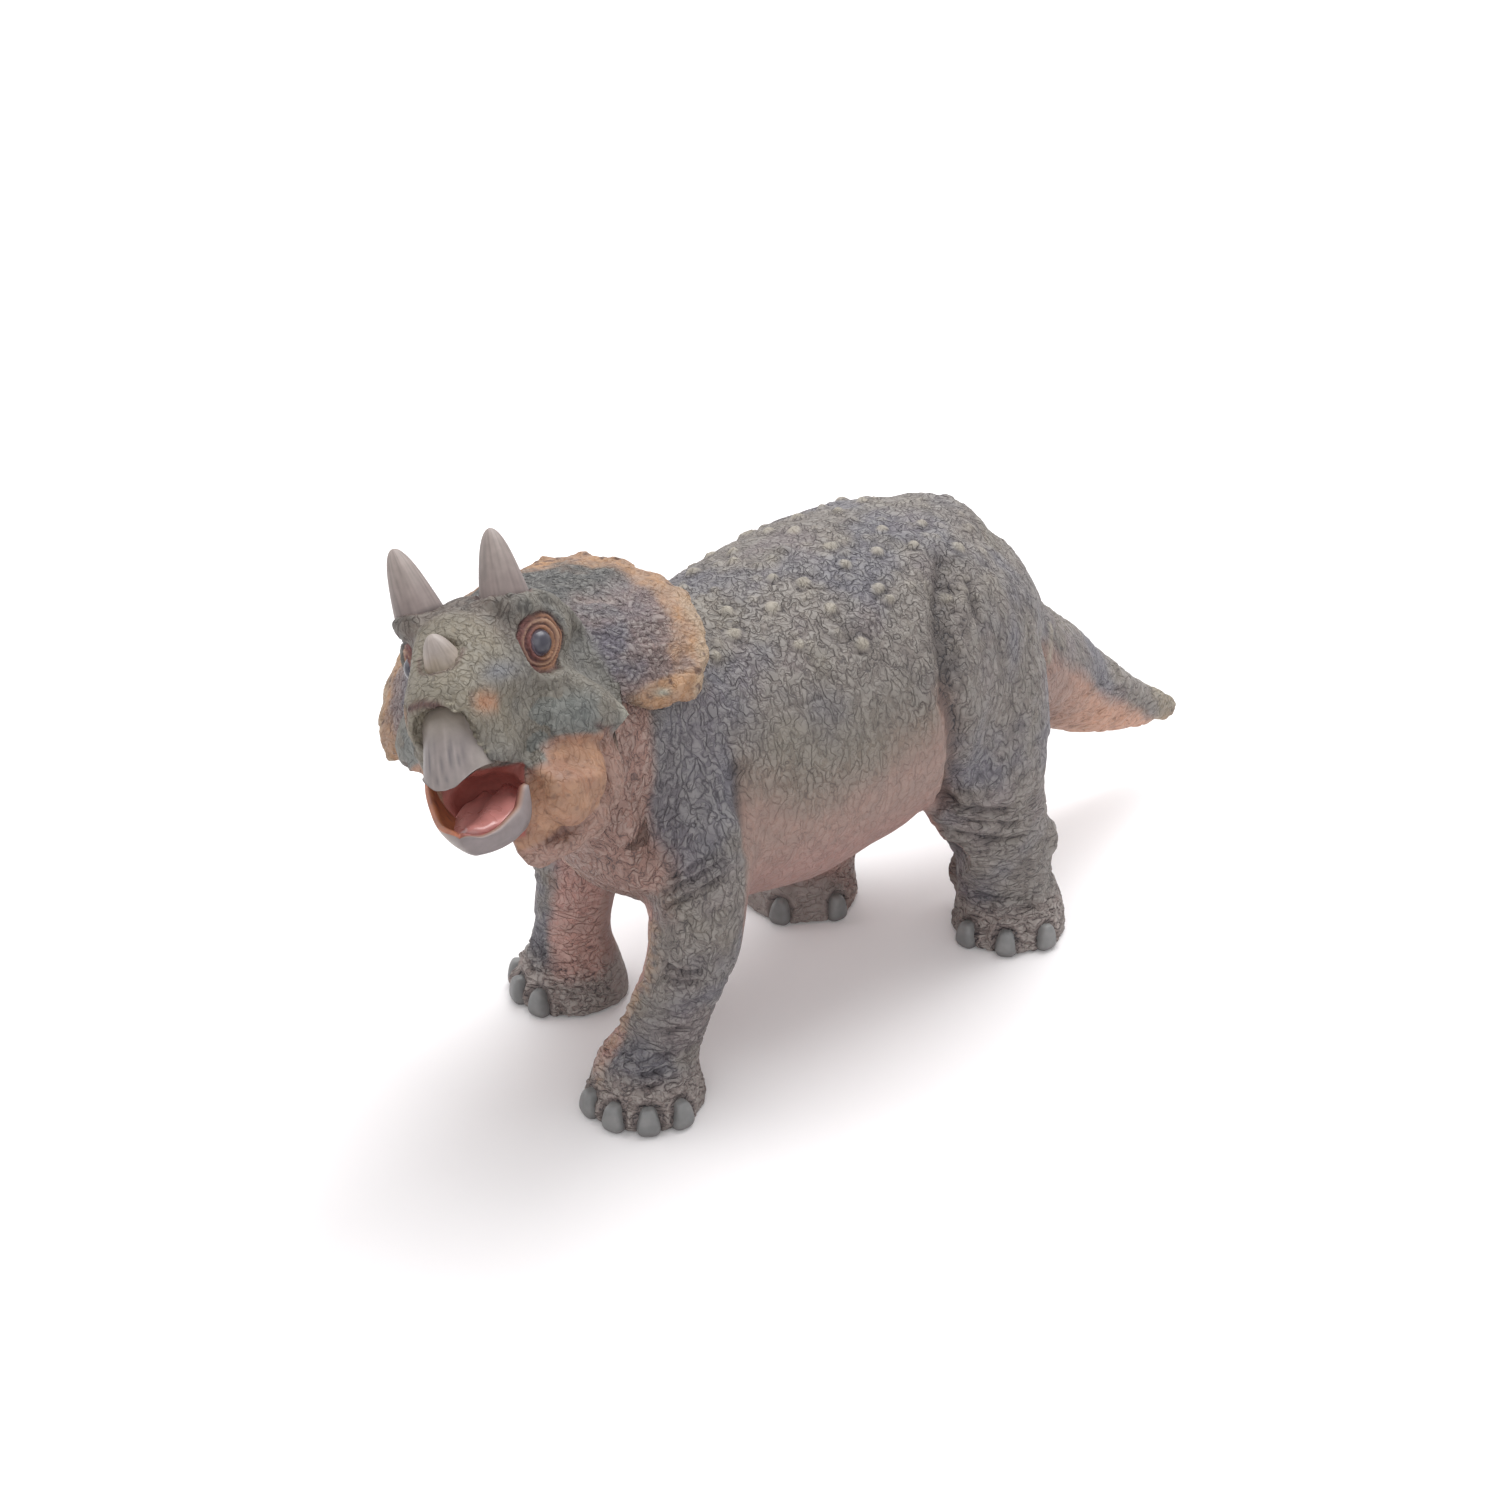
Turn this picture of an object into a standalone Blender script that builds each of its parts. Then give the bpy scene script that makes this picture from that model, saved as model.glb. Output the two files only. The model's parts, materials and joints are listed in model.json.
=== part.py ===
# A walking young three-horned dinosaur: a painted figure cast in parts that are keyed and glued together
# Metres, +Z up. The figure faces -Y, its left side is +X, and its soles stand on Z = 0.
import bpy
import bmesh
from math import cos, sin, pi, radians
from mathutils import Euler, Matrix, Vector

mm = 0.001

# Fits between castings
seam_gap = 0.3 * mm
key_bite = 1.5 * mm
overrun = 6 * mm

# Torso
chest_y = -35 * mm
body_length = 61.5 * mm
body_width = 33 * mm
back_height = 47.6 * mm
belly_height = 12.5 * mm

# Neck
neck_width = 17 * mm
neck_depth = 20 * mm
neck_key_radius = 3.2 * mm
neck_key_length = 4 * mm

# Tail
tail_reach = 31.5 * mm
tail_width = 15 * mm
tail_depth = 17 * mm
tail_tip_height = 8 * mm
tail_key_radius = 2.2 * mm
tail_key_length = 4 * mm

# Front legs: a step is where the foot stands, its side from the middle and its lead on the joint
front_leg_width = 9 * mm
front_leg_depth = 9.2 * mm
shoulder_out = 10.5 * mm
shoulder_behind_chest = 8 * mm
front_left_step = Vector((8.6 * mm, -4.5 * mm, 0))
front_right_step = Vector((-10.8 * mm, 2.5 * mm, 0))
shoulder_height = 27 * mm
shoulder_seam = 5.5 * mm
elbow_back = 1.7 * mm
front_foot_width = 12 * mm
front_foot_depth = 12 * mm

# Hind legs
hind_leg_width = 11 * mm
hind_leg_depth = 12.5 * mm
hip_out = 9.5 * mm
hip_before_rump = 13.5 * mm
hind_left_step = Vector((10.6 * mm, 3.5 * mm, 0))
hind_right_step = Vector((-8.6 * mm, -8.5 * mm, 0))
hip_height = 28 * mm
hip_seam = 5.4 * mm
knee_front = 2 * mm
hind_foot_width = 12.6 * mm
hind_foot_depth = 13 * mm

# Feet
foot_height = 6 * mm
nail_width = 2.6 * mm
nail_height = 3.2 * mm
nail_reach = 0.5 * mm

# Where each foot's toes point, turned from the front towards the left, and how far they spread from there
front_toe_turn = radians(35)
front_toe_spread = radians(50)
hind_left_toe_turn = radians(43)
hind_left_toe_spread = radians(42)
hind_right_toe_turn = radians(25)
hind_right_toe_spread = radians(59)

# Each leg's glue key and its seam with the body
leg_key_radius = 2.3 * mm
leg_key_length = 3.4 * mm
leg_margin = 1.8 * mm
crotch_height = 12.2 * mm
crotch_gap = 0.5 * mm

# Head: its place is midway between the brow horns, and it is turned, raised and tilted
head_aside = 0.9 * mm
head_before_chest = 9.7 * mm
head_above_back = 4.5 * mm
head_turn = radians(30)
head_raise = radians(24)
head_tilt = radians(18.7)
face_length = 11.7 * mm
skull_length = 12 * mm
skull_depth = 15 * mm
skull_width = 16.5 * mm

# Frill: its wide line is level with the cheeks, and its plane leans back as it rises
frill_width = 32 * mm
frill_rise = 13.4 * mm
frill_lean = radians(30)
frill_back = 14.5 * mm
frill_drop = 6.3 * mm
frill_root_radius = 7.2 * mm
frill_root_back = 4.5 * mm
frill_thickness = 1.8 * mm
scallop_depth = 1.1 * mm

# Horns and beak
brow_horn_length = 6.2 * mm
brow_horn_radius = 2.3 * mm
brow_horn_spacing = 7.8 * mm
nose_horn_length = 3 * mm
nose_horn_radius = 2.1 * mm
beak_width = 6 * mm
beak_height = 7.2 * mm
beak_thickness = 3.4 * mm

# Mouth and eyes
gape_height = 3.3 * mm
mouth_width = 9.6 * mm
jaw_length = 5.1 * mm
jaw_depth = 4.6 * mm
jaw_wall = 1.2 * mm
tongue_thickness = 1.9 * mm
jaw_key_radius = 0.9 * mm
jaw_key_length = 2.4 * mm
eye_radius = 1.35 * mm
eye_spacing = 11.9 * mm
cheek_spike_spacing = 19 * mm

# Fineness of the sculpted skins
body_voxel = 0.8 * mm
head_voxel = 0.5 * mm
body_faces = 5800
head_faces = 3800
ring_sides = 28
key_sides = 16
small_sides = 14
arch_steps = 12
frill_steps = 72
scallops = 15

skin_green = (0.19, 0.22, 0.20, 1)
skin_ochre = (0.42, 0.25, 0.15, 1)
horn_grey = (0.36, 0.33, 0.31, 1)
mouth_red = (0.20, 0.06, 0.05, 1)
eye_dark = (0.02, 0.02, 0.03, 1)

X = Vector((1, 0, 0))
Y = Vector((0, 1, 0))
Z = Vector((0, 0, 1))
origin = Vector((0, 0, 0))

# Along the torso, its top, its bottom and its half width: shares of body length, depth, depth and width
torso_shares = (
    (0.00, 0.60, 0.36, 0.16),
    (0.05, 0.74, 0.22, 0.28),
    (0.13, 0.83, 0.12, 0.38),
    (0.23, 0.90, 0.06, 0.43),
    (0.37, 0.95, 0.02, 0.48),
    (0.51, 0.985, 0.05, 0.50),
    (0.63, 1.00, 0.13, 0.49),
    (0.75, 0.98, 0.23, 0.44),
    (0.85, 0.86, 0.32, 0.36),
    (0.93, 0.69, 0.34, 0.25),
    (1.00, 0.50, 0.37, 0.12),
)

# Along the neck from the shoulders: its swell
neck_root_shares = (0.24, 0.60)
neck_seat_shares = (-0.50, -0.66)
neck_swell_shares = (1.18, 1.10, 1.03, 0.96, 0.88, 0.76)
neck_seam_share = 0.93
throat_swell_share = 1.16

# Along the tail from the rump, its drop, half width and half depth
tail_root_share = 0.39
tail_seam_share = 0.16
tail_shares = (
    (-0.35, 0.00, 0.46, 0.44),
    (0.00, 0.08, 0.44, 0.42),
    (0.18, 0.29, 0.38, 0.365),
    (0.37, 0.52, 0.30, 0.31),
    (0.645, 0.78, 0.21, 0.205),
    (0.85, 0.92, 0.12, 0.12),
    (0.96, 0.99, 0.06, 0.06),
    (1.00, 1.00, 0.02, 0.02),
)

# Down a leg from its joint to the ground: bend, half width, reach to the rear and reach to the front
front_leg_shares = (
    (-0.14, 0.0, 0.40, 0.46, 0.46),
    (0.00, 0.2, 0.50, 0.50, 0.54),
    (0.20, 0.6, 0.52, 0.49, 0.54),
    (0.42, 1.0, 0.49, 0.46, 0.50),
    (0.56, 1.0, 0.46, 0.43, 0.47),
    (0.72, 0.5, 0.44, 0.42, 0.44),
    (0.88, 0.1, 0.47, 0.44, 0.48),
    (1.12, 0.0, 0.54, 0.50, 0.56),
)
hind_leg_shares = (
    (-0.30, 0.2, 0.34, 0.40, 0.42),
    (-0.12, 0.3, 0.50, 0.58, 0.60),
    (0.12, 0.8, 0.58, 0.62, 0.66),
    (0.34, 1.0, 0.56, 0.58, 0.60),
    (0.54, 0.6, 0.50, 0.50, 0.52),
    (0.72, 0.0, 0.44, 0.40, 0.42),
    (0.88, 0.0, 0.46, 0.42, 0.44),
    (1.12, 0.0, 0.52, 0.50, 0.50),
)
foot_shares = ((1.00, 0.70), (0.66, 0.84), (0.34, 0.95), (0.0, 1.0), (-0.40, 1.0))
nail_seat_share = 0.90
nail_rise_share = 0.44
key_flat_share = 0.6

# Along the lower jaw from its seat: half width, rim above the mouth's floor and foot below it
jaw_shares = (
    (0.00, 0.49, 0.66, 0.72),
    (0.25, 0.49, 0.52, 0.73),
    (0.55, 0.44, 0.20, 0.66),
    (0.82, 0.29, -0.06, 0.50),
    (1.00, 0.12, -0.16, 0.28),
)
# Along the tongue from the jaw's seat, its half width in the trough, half thickness and lift
tongue_shares = (
    (-0.52, 0.30, 0.45, 1.1),
    (-0.34, 0.62, 0.80, 0.7),
    (-0.05, 0.80, 1.00, 0.1),
    (0.25, 0.76, 1.00, 0.0),
    (0.48, 0.52, 0.75, 0.0),
    (0.58, 0.24, 0.40, 0.1),
)
palate_share = -0.90
jaw_seat_share = 0.36
jaw_key_drop_share = 0.46
trough_share = 0.22
trough_foot_share = 0.85
throat_swell = 1.12
throat_reach_share = 0.36
eye_shares = (0.01, -0.25)

# Forward along the skull from the brow, its top, bottom and half width
skull_shares = (
    (-0.92, -0.22, -0.73, 0.30),
    (-0.67, 0.00, -0.87, 0.42),
    (-0.33, 0.10, -0.97, 0.45),
    (0.00, 0.12, -0.98, 0.41),
    (0.26, 0.02, -0.95, 0.35),
    (0.51, -0.17, -0.92, 0.30),
    (0.71, -0.33, -0.90, 0.25),
    (0.82, -0.50, -0.88, 0.18),
)

# Down the beak: forward, half width and thickness
beak_shares = (
    (0.00, 0.78, 0.20, 0.20),
    (0.10, 0.81, 0.33, 0.38),
    (0.35, 0.88, 0.43, 0.50),
    (0.62, 0.94, 0.49, 0.52),
    (0.84, 0.98, 0.38, 0.40),
    (0.97, 1.01, 0.16, 0.20),
)
beak_top_share = -0.50

# Along a horn from its foot, its swell
horn_shares = ((-0.16, 0.86), (0.0, 1.0), (0.25, 0.84), (0.5, 0.68), (0.75, 0.50), (0.9, 0.36), (0.97, 0.22), (1.0, 0.08))

# The horns' places forward and up on the skull, and how they lean
brow_horn_shares = (0.03, 0.03)
brow_horn_out_share = 0.16
brow_horn_fore_share = 0.10
nose_horn_shares = (0.62, -0.30)
nose_horn_fore_share = 0.25

# Brow, cheek, pouch and throat: places and half sizes
brow_drop_share = 0.25
brow_shares = (1.2, 1.45, 0.9)
pouch_out_share = 0.36
pouch_place_shares = (-0.17, -1.01)
pouch_shares = (0.43, 0.58, 0.50)
throat_place_shares = (-0.24, -1.12)
throat_shares = (0.62, 0.62, 0.58)
cheek_out_share = 0.27
cheek_place_shares = (-0.08, -0.60)
cheek_shares = (0.17, 0.30, 0.25)
spike_tip_shares = (-0.64, -0.71)
spike_root_share = 0.3
spike_root_shares = (0.0, -0.62)
cheek_spike_shares = ((0.0, 0.26), (0.35, 0.24), (0.65, 0.17), (0.88, 0.085), (1.0, 0.04))

# Frill
frill_draw_share = 0.28
scallop_share = 0.6
frill_wide_turn = radians(90)
frill_end_turn = radians(128)
# Outward along the frill: share of its reach, share of its thickness
frill_shares = ((0.0, 1.6), (0.3, 1.3), (0.6, 1.0), (0.85, 0.9), (0.97, 0.7))


# Plain helpers

def clear_scene():
    for thing in list(bpy.data.objects):
        bpy.data.objects.remove(thing, do_unlink=True)


def paint(name, colour, roughness):
    material = bpy.data.materials.new(name)
    material.use_nodes = True
    shader = material.node_tree.nodes["Principled BSDF"]
    shader.inputs["Base Color"].default_value = colour
    shader.inputs["Roughness"].default_value = roughness
    shader.inputs["Metallic"].default_value = 0
    return material


def make_mesh(name, points, faces):
    mesh = bpy.data.meshes.new(name)
    mesh.from_pydata(points, [], faces)
    tidy = bmesh.new()
    tidy.from_mesh(mesh)
    bmesh.ops.recalc_face_normals(tidy, faces=tidy.faces)
    tidy.to_mesh(mesh)
    tidy.free()
    return mesh


def make_object(name, mesh, place=origin, parent=None):
    """An object whose own origin is at the given place"""
    if mesh:
        mesh.transform(Matrix.Translation(-place))
    thing = bpy.data.objects.new(name, mesh)
    bpy.context.collection.objects.link(thing)
    thing.parent = parent
    thing.location = place
    return thing


def make_piece(name, mesh, colour, roughness, place=origin, parent=None):
    piece = make_object(name, mesh, place, parent)
    mesh.materials.clear()
    mesh.materials.append(paint(name + "_paint", colour, roughness))
    mesh.shade_smooth()
    mesh.set_sharp_from_angle(angle=radians(50))
    return piece


def make_cutter(name, mesh, parent=None):
    tool = make_object(name, mesh, origin, parent)
    tool.hide_render = True
    tool.display_type = "WIRE"
    return tool


def boolean(piece, tool, operation):
    step = piece.modifiers.new(tool.name, "BOOLEAN")
    step.operation = operation
    step.solver = "EXACT"
    step.object = tool


def evaluated_mesh(thing, name):
    view = bpy.context.evaluated_depsgraph_get()
    view.update()
    mesh = bpy.data.meshes.new_from_object(thing.evaluated_get(view))
    mesh.name = name
    return mesh


def loft(name, rings):
    """A closed skin over rings of points, flat at both ends"""
    sides = len(rings[0])
    points = [point for ring in rings for point in ring]
    faces = []
    for row in range(len(rings) - 1):
        start = row * sides
        for i in range(sides):
            j = (i + 1) % sides
            faces.append((start + i, start + j, start + sides + j, start + sides + i))
    faces.append(tuple(range(sides)))
    faces.append(tuple(range(len(points) - sides, len(points))))
    return make_mesh(name, points, faces)


def ellipse(centre, side, rise, half_width, above, below, sides=ring_sides):
    points = []
    for i in range(sides):
        turn = 2 * pi * i / sides
        height = above if sin(turn) > 0 else below
        points.append(centre + side * (half_width * cos(turn)) + rise * (height * sin(turn)))
    return points


def limb(name, stations, across, sides=ring_sides):
    """A rounded limb through stations of centre, half width, and reach above and below the centre"""
    rings = []
    last = len(stations) - 1
    for i, (centre, half_width, above, below) in enumerate(stations):
        ahead = stations[min(i + 1, last)][0] - stations[max(i - 1, 0)][0]
        ahead.normalize()
        side = (across - ahead * across.dot(ahead)).normalized()
        rings.append(ellipse(centre, side, side.cross(ahead), half_width, above, below, sides))
    return loft(name, rings)


def egg(name, centre, half_sizes, turned=None, sides=ring_sides):
    """An ellipsoid with its half sizes along its own axes"""
    rows = sides // 2
    turned = turned or Matrix.Identity(3)
    rings = []
    for row in range(1, rows):
        lean = pi * row / rows
        ring = []
        for i in range(sides):
            turn = 2 * pi * i / sides
            unit = (sin(lean) * cos(turn), sin(lean) * sin(turn), cos(lean))
            ring.append(centre + turned @ Vector([u * half for u, half in zip(unit, half_sizes)]))
        rings.append(ring)
    return loft(name, rings)


def prism(name, outline, low, high, along):
    """A straight bar: an outline of points, carried along one axis from low to high"""
    return loft(name, [[point + along * low for point in outline], [point + along * high for point in outline]])


def box(name, low, high):
    outline = [Vector((low.x, low.y, 0)), Vector((high.x, low.y, 0)),
               Vector((high.x, high.y, 0)), Vector((low.x, high.y, 0))]
    return prism(name, outline, low.z, high.z, Z)


def key_bar(name, start, along, radius, length, flat_on):
    """A glue key: a round bar with one flat side, so that a casting can't turn on it"""
    along = along.normalized()
    side = (flat_on - along * flat_on.dot(along)).normalized()
    other = along.cross(side)
    outline = []
    for i in range(key_sides):
        turn = 2 * pi * (i + 0.5) / key_sides
        outline.append(start + side * (radius * min(cos(turn), key_flat_share)) + other * (radius * sin(turn)))
    return prism(name, outline, 0, length, along)


def join(name, meshes):
    both = bmesh.new()
    for mesh in meshes:
        both.from_mesh(mesh)
    mesh = bpy.data.meshes.new(name)
    both.to_mesh(mesh)
    both.free()
    return mesh


def sculpt(name, meshes, voxel, passes, faces):
    """One closed skin over overlapping shapes, softened, and thinned to about so many triangles"""
    lump = make_cutter(name, join(name, meshes))
    skin = lump.modifiers.new("Skin", "REMESH")
    skin.mode = "VOXEL"
    skin.voxel_size = voxel
    soft = lump.modifiers.new("Soften", "SMOOTH")
    soft.factor = 0.5
    soft.iterations = passes
    full = evaluated_mesh(lump, name + "_full")
    thin = lump.modifiers.new("Thin", "DECIMATE")
    thin.ratio = min(1, faces / (2 * len(full.polygons)))
    mesh = evaluated_mesh(lump, name + "_skin")
    bpy.data.objects.remove(lump, do_unlink=True)
    return mesh


# Torso, neck and tail

def body_depth():
    return back_height - belly_height


def rump_y():
    return chest_y + body_length


def torso_shape():
    stations = []
    for along, top, bottom, width in torso_shares:
        high = belly_height + body_depth() * top
        low = belly_height + body_depth() * bottom
        centre = Vector((0, chest_y + body_length * along, (high + low) / 2))
        half = (high - low) / 2
        stations.append((centre, body_width * width, half, half))
    return limb("torso_shape", stations, X)


def head_frame():
    turned = Euler((-head_raise, 0, head_turn), "XYZ").to_matrix() @ Matrix.Rotation(-head_tilt, 3, "Y")
    place = Vector((head_aside, chest_y - head_before_chest, back_height + head_above_back))
    return Matrix.Translation(place) @ turned.to_4x4()


def on_skull(side, forward, rise):
    """A point of the skull: side as a length, forward and rise as shares of the skull's own sizes"""
    reach = face_length if forward > 0 else skull_length
    return Vector((side, -reach * forward, skull_depth * rise))


def neck_line():
    """Where the neck leaves the torso and where it meets the skull"""
    root = Vector((0, chest_y + body_length * neck_root_shares[0],
                   belly_height + body_depth() * neck_root_shares[1]))
    return root, head_frame() @ on_skull(0, *neck_seat_shares)


def neck_shape():
    root, seat = neck_line()
    stations = []
    for i, swell in enumerate(neck_swell_shares):
        centre = root.lerp(seat, i / (len(neck_swell_shares) - 1))
        half = neck_depth / 2 * swell
        stations.append((centre, neck_width / 2 * swell, half * throat_swell_share, half))
    return limb("neck_shape", stations, X)


def neck_front():
    """The space in front of the neck's seam"""
    root, seat = neck_line()
    seam = root.lerp(seat, neck_seam_share)
    along = (seat - root).normalized()
    side = (X - along * X.dot(along)).normalized()
    outline = ellipse(seam, side, side.cross(along), neck_width, neck_depth, neck_depth)
    return prism("neck_front", outline, 0, body_length, along)


def neck_key():
    root, seat = neck_line()
    along = (seat - root).normalized()
    start = root.lerp(seat, neck_seam_share) - along * key_bite
    return key_bar("neck_key", start, along, neck_key_radius, neck_key_length + key_bite, Z)


def tail_point(along, drop):
    height = belly_height + body_depth() * tail_root_share
    return Vector((0, rump_y() + tail_reach * along, height + (tail_tip_height - height) * drop))


def tail_shape():
    stations = []
    for along, drop, width, depth in tail_shares:
        half = tail_depth * depth
        stations.append((tail_point(along, drop), tail_width * width, half, half))
    return limb("tail_shape", stations, X)


def tail_seam():
    return tail_point(tail_seam_share, tail_seam_share)


def tail_zone(grown):
    low = Vector((-body_width, tail_seam().y - grown, -overrun))
    return box("tail_zone", low, Vector((body_width, rump_y() + tail_reach + overrun, back_height + overrun)))


def tail_key(grown):
    start = tail_seam() + Y * key_bite
    return key_bar("tail_key", start, -Y, tail_key_radius + grown, key_bite + tail_key_length + grown, Z)


# Legs

class Leg:
    """One leg with its foot, on the left (side 1) or the right (side -1)"""

    def __init__(self, name, side, front, step, toe_turn, toe_spread):
        self.name = name
        self.toe_turn = toe_turn
        self.toe_spread = toe_spread
        self.side = side
        self.width = front_leg_width if front else hind_leg_width
        self.depth = front_leg_depth if front else hind_leg_depth
        self.seam = shoulder_seam if front else hip_seam
        self.bend = elbow_back if front else -knee_front
        self.shares = front_leg_shares if front else hind_leg_shares
        self.foot_width = front_foot_width if front else hind_foot_width
        self.foot_depth = front_foot_depth if front else hind_foot_depth
        self.nails = 4 if front else 3
        if front:
            self.joint = Vector((side * shoulder_out, chest_y + shoulder_behind_chest, shoulder_height))
        else:
            self.joint = Vector((side * hip_out, rump_y() - hip_before_rump, hip_height))
        self.foot = step + Y * self.joint.y

    def stations(self):
        rows = []
        for down, bend, width, rear, fore in self.shares:
            centre = self.joint.lerp(self.foot, down) + Y * (self.bend * bend)
            rows.append((centre, self.width * width, self.depth * rear, self.depth * fore))
        return rows

    def shapes(self):
        rows = []
        for height, spread in foot_shares:
            half = self.foot_depth / 2 * spread
            rows.append((self.foot + Z * (foot_height * height), self.foot_width / 2 * spread, half, half))
        return [limb(self.name + "_shape", self.stations(), X), limb(self.name + "_foot", rows, X)]

    def zone(self, grown):
        """The space that the leg takes from the body: an arch over its joint, and down to the sole"""
        margin = leg_margin + grown
        rows = self.stations()
        thigh = rows[2]
        radius = max(thigh[2], thigh[3]) + margin
        outline = []
        for i in range(arch_steps + 1):
            turn = pi * i / arch_steps
            outline.append(Vector((0, thigh[0].y - radius * cos(turn), self.joint.z + radius * sin(turn))))
        reach = self.foot_depth / 2 + nail_reach + margin
        shin = [row for row in rows if foot_height < row[0].z < self.joint.z]
        outline += [Vector((0, centre.y + rear + margin, centre.z)) for centre, _, rear, _ in shin]
        outline += [Vector((0, self.foot.y + reach, foot_height)), Vector((0, self.foot.y + reach, -body_length)),
                    Vector((0, self.foot.y - reach, -body_length)), Vector((0, self.foot.y - reach, foot_height))]
        outline += [Vector((0, centre.y - fore - margin, centre.z)) for centre, _, _, fore in shin[::-1]]
        low, high = sorted((self.side * (crotch_gap - grown), self.side * (body_width / 2 + overrun)))
        whole = make_cutter(self.name + "_reach", prism(self.name + "_reach", outline, low, high, X))
        low, high = sorted((-self.side * overrun, self.side * (self.seam - grown)))
        step = box(self.name + "_step", Vector((low, chest_y - overrun, crotch_height + grown)),
                   Vector((high, rump_y() + overrun, back_height + overrun)))
        boolean(whole, make_cutter(self.name + "_step", step), "DIFFERENCE")
        return whole

    def key(self, grown):
        start = Vector((self.side * (self.seam + key_bite), self.joint.y, self.joint.z))
        length = key_bite + leg_key_length + grown
        return key_bar(self.name + "_key", start, X * -self.side, leg_key_radius + grown, length, Z)

    def nail_shapes(self):
        """Toenails round the front of the foot, standing on the ground"""
        nails = []
        for i in range(self.nails):
            turn = self.toe_turn + self.toe_spread * (2 * i / (self.nails - 1) - 1)
            edge = Vector((sin(turn) * self.foot_width / 2, -cos(turn) * self.foot_depth / 2, 0))
            centre = self.foot + edge * nail_seat_share + Z * (nail_height * nail_rise_share)
            size = (nail_width / 2, nail_reach + nail_width / 2, nail_height / 2)
            nails.append(egg(self.name + f"_nail_{i}", centre, size, Matrix.Rotation(turn, 3, "Z"), small_sides))
        return nails

    def cast(self, body):
        piece = make_piece(self.name, body.copy(), skin_green, 0.5, self.joint)
        boolean(piece, self.zone(0), "INTERSECT")
        boolean(piece, make_cutter(self.name + "_key", self.key(0)), "UNION")
        for nail in self.nail_shapes():
            boolean(piece, make_cutter(nail.name, nail), "UNION")
        low = Vector((-body_width, chest_y - body_length, -body_length))
        ground = box(self.name + "_ground", low, Vector((body_width, rump_y() + overrun, 0)))
        boolean(piece, make_cutter(self.name + "_ground", ground), "DIFFERENCE")
        return piece


# Head

def skull_shape():
    stations = []
    for forward, top, bottom, width in skull_shares:
        centre = on_skull(0, forward, (top + bottom) / 2)
        half = skull_depth * (top - bottom) / 2
        stations.append((centre, skull_width * width, half, half))
    return limb("skull_shape", stations, -X)


def cheek_shapes(side):
    """The brow under a horn, the cheek out to its spike, and the pouch below it"""
    base = brow_horn_ends(side)[0]
    brow = egg("brow", base - Z * brow_horn_radius * brow_drop_share,
               [brow_horn_radius * share for share in brow_shares])
    cheek = egg("cheek", on_skull(side * skull_width * cheek_out_share, *cheek_place_shares),
                [skull_width * share for share in cheek_shares])
    tip = on_skull(side * cheek_spike_spacing / 2, *spike_tip_shares)
    root = on_skull(side * skull_width * spike_root_share, *spike_root_shares)
    rows = []
    for share, size in cheek_spike_shares:
        half = skull_depth * size
        rows.append((root.lerp(tip, share), half, half, half))
    spike = limb("cheek_spike", rows, Z)
    pouch = egg("pouch", on_skull(side * mouth_width * pouch_out_share, *pouch_place_shares),
                [mouth_width * share for share in pouch_shares])
    return [brow, cheek, spike, pouch]


def throat_shape():
    return egg("throat", on_skull(0, *throat_place_shares), [mouth_width * share for share in throat_shares])


def frill_rim(turn):
    """A point of the frill's rim: turn is 0 at its top and half a circle at its foot"""
    past = max(0, (abs(turn) - frill_wide_turn) / (frill_end_turn - frill_wide_turn))
    drawn_in = 1 - frill_draw_share * past ** 2.5
    scallop = scallop_depth * (abs(cos(turn / frill_end_turn * pi * scallops / 2)) ** scallop_share - scallop_share)
    out = Vector((sin(turn) * (frill_width / 2 * drawn_in + scallop), cos(turn) * (frill_rise * drawn_in + scallop)))
    return Vector((out.x, frill_back + out.y * sin(frill_lean), out.y * cos(frill_lean) - frill_drop))


def frill_root(turn):
    return Vector((frill_root_radius * sin(turn), frill_root_back,
                   frill_root_radius * cos(turn) - frill_drop))


def frill_shape():
    """A shell that fans out from the skull to its scalloped rim"""
    rings = []
    for i in range(frill_steps + 1):
        turn = frill_end_turn * (2 * i / frill_steps - 1)
        root = frill_root(turn)
        rim = frill_rim(turn)
        outward = (rim - root).normalized()
        round_it = Vector((cos(turn), 0, -sin(turn)))
        behind = outward.cross(round_it).normalized()
        if behind.y < 0:
            behind.negate()
        front = [root.lerp(rim, share) for share, _ in frill_shares]
        back = [point + behind * (frill_thickness * size) for point, (_, size) in zip(front, frill_shares)]
        rings.append(front + back[::-1])
    return loft("frill_shape", rings)


def seat(piece, shape, parent):
    """Cuts the room for a shape out of a piece"""
    boolean(piece, make_cutter(shape.name, shape, parent), "DIFFERENCE")


def beak_shape(grown):
    """The horny cap at the tip of the upper jaw"""
    top = skull_depth * beak_top_share
    rows = []
    for down, forward, width, thick in beak_shares:
        centre = Vector((0, -face_length * forward, top - beak_height * down))
        half = beak_thickness * thick + grown
        rows.append((centre, beak_width * width + grown, half, half))
    return limb("beak_shape", rows, X)


def horn_shape(name, base, tip, radius, grown=0):
    """A blunt cone whose foot is sunk in the skull"""
    rows = []
    for along, size in horn_shares:
        half = radius * size + grown
        rows.append((base.lerp(tip, along), half, half, half))
    if grown:
        away = (base - tip).normalized() * grown
        rows[0] = (rows[0][0] + away, *rows[0][1:])
    return limb(name, rows, Y, key_sides)


def brow_horn_ends(side):
    base = on_skull(side * brow_horn_spacing / 2, *brow_horn_shares)
    lean = Vector((side * brow_horn_out_share, -brow_horn_fore_share, 1)).normalized()
    return base, base + lean * brow_horn_length


def nose_horn_ends():
    base = on_skull(0, *nose_horn_shares)
    return base, base + Vector((0, -nose_horn_fore_share, 1)).normalized() * nose_horn_length


def mouth_floor():
    return skull_depth * palate_share - gape_height


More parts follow.
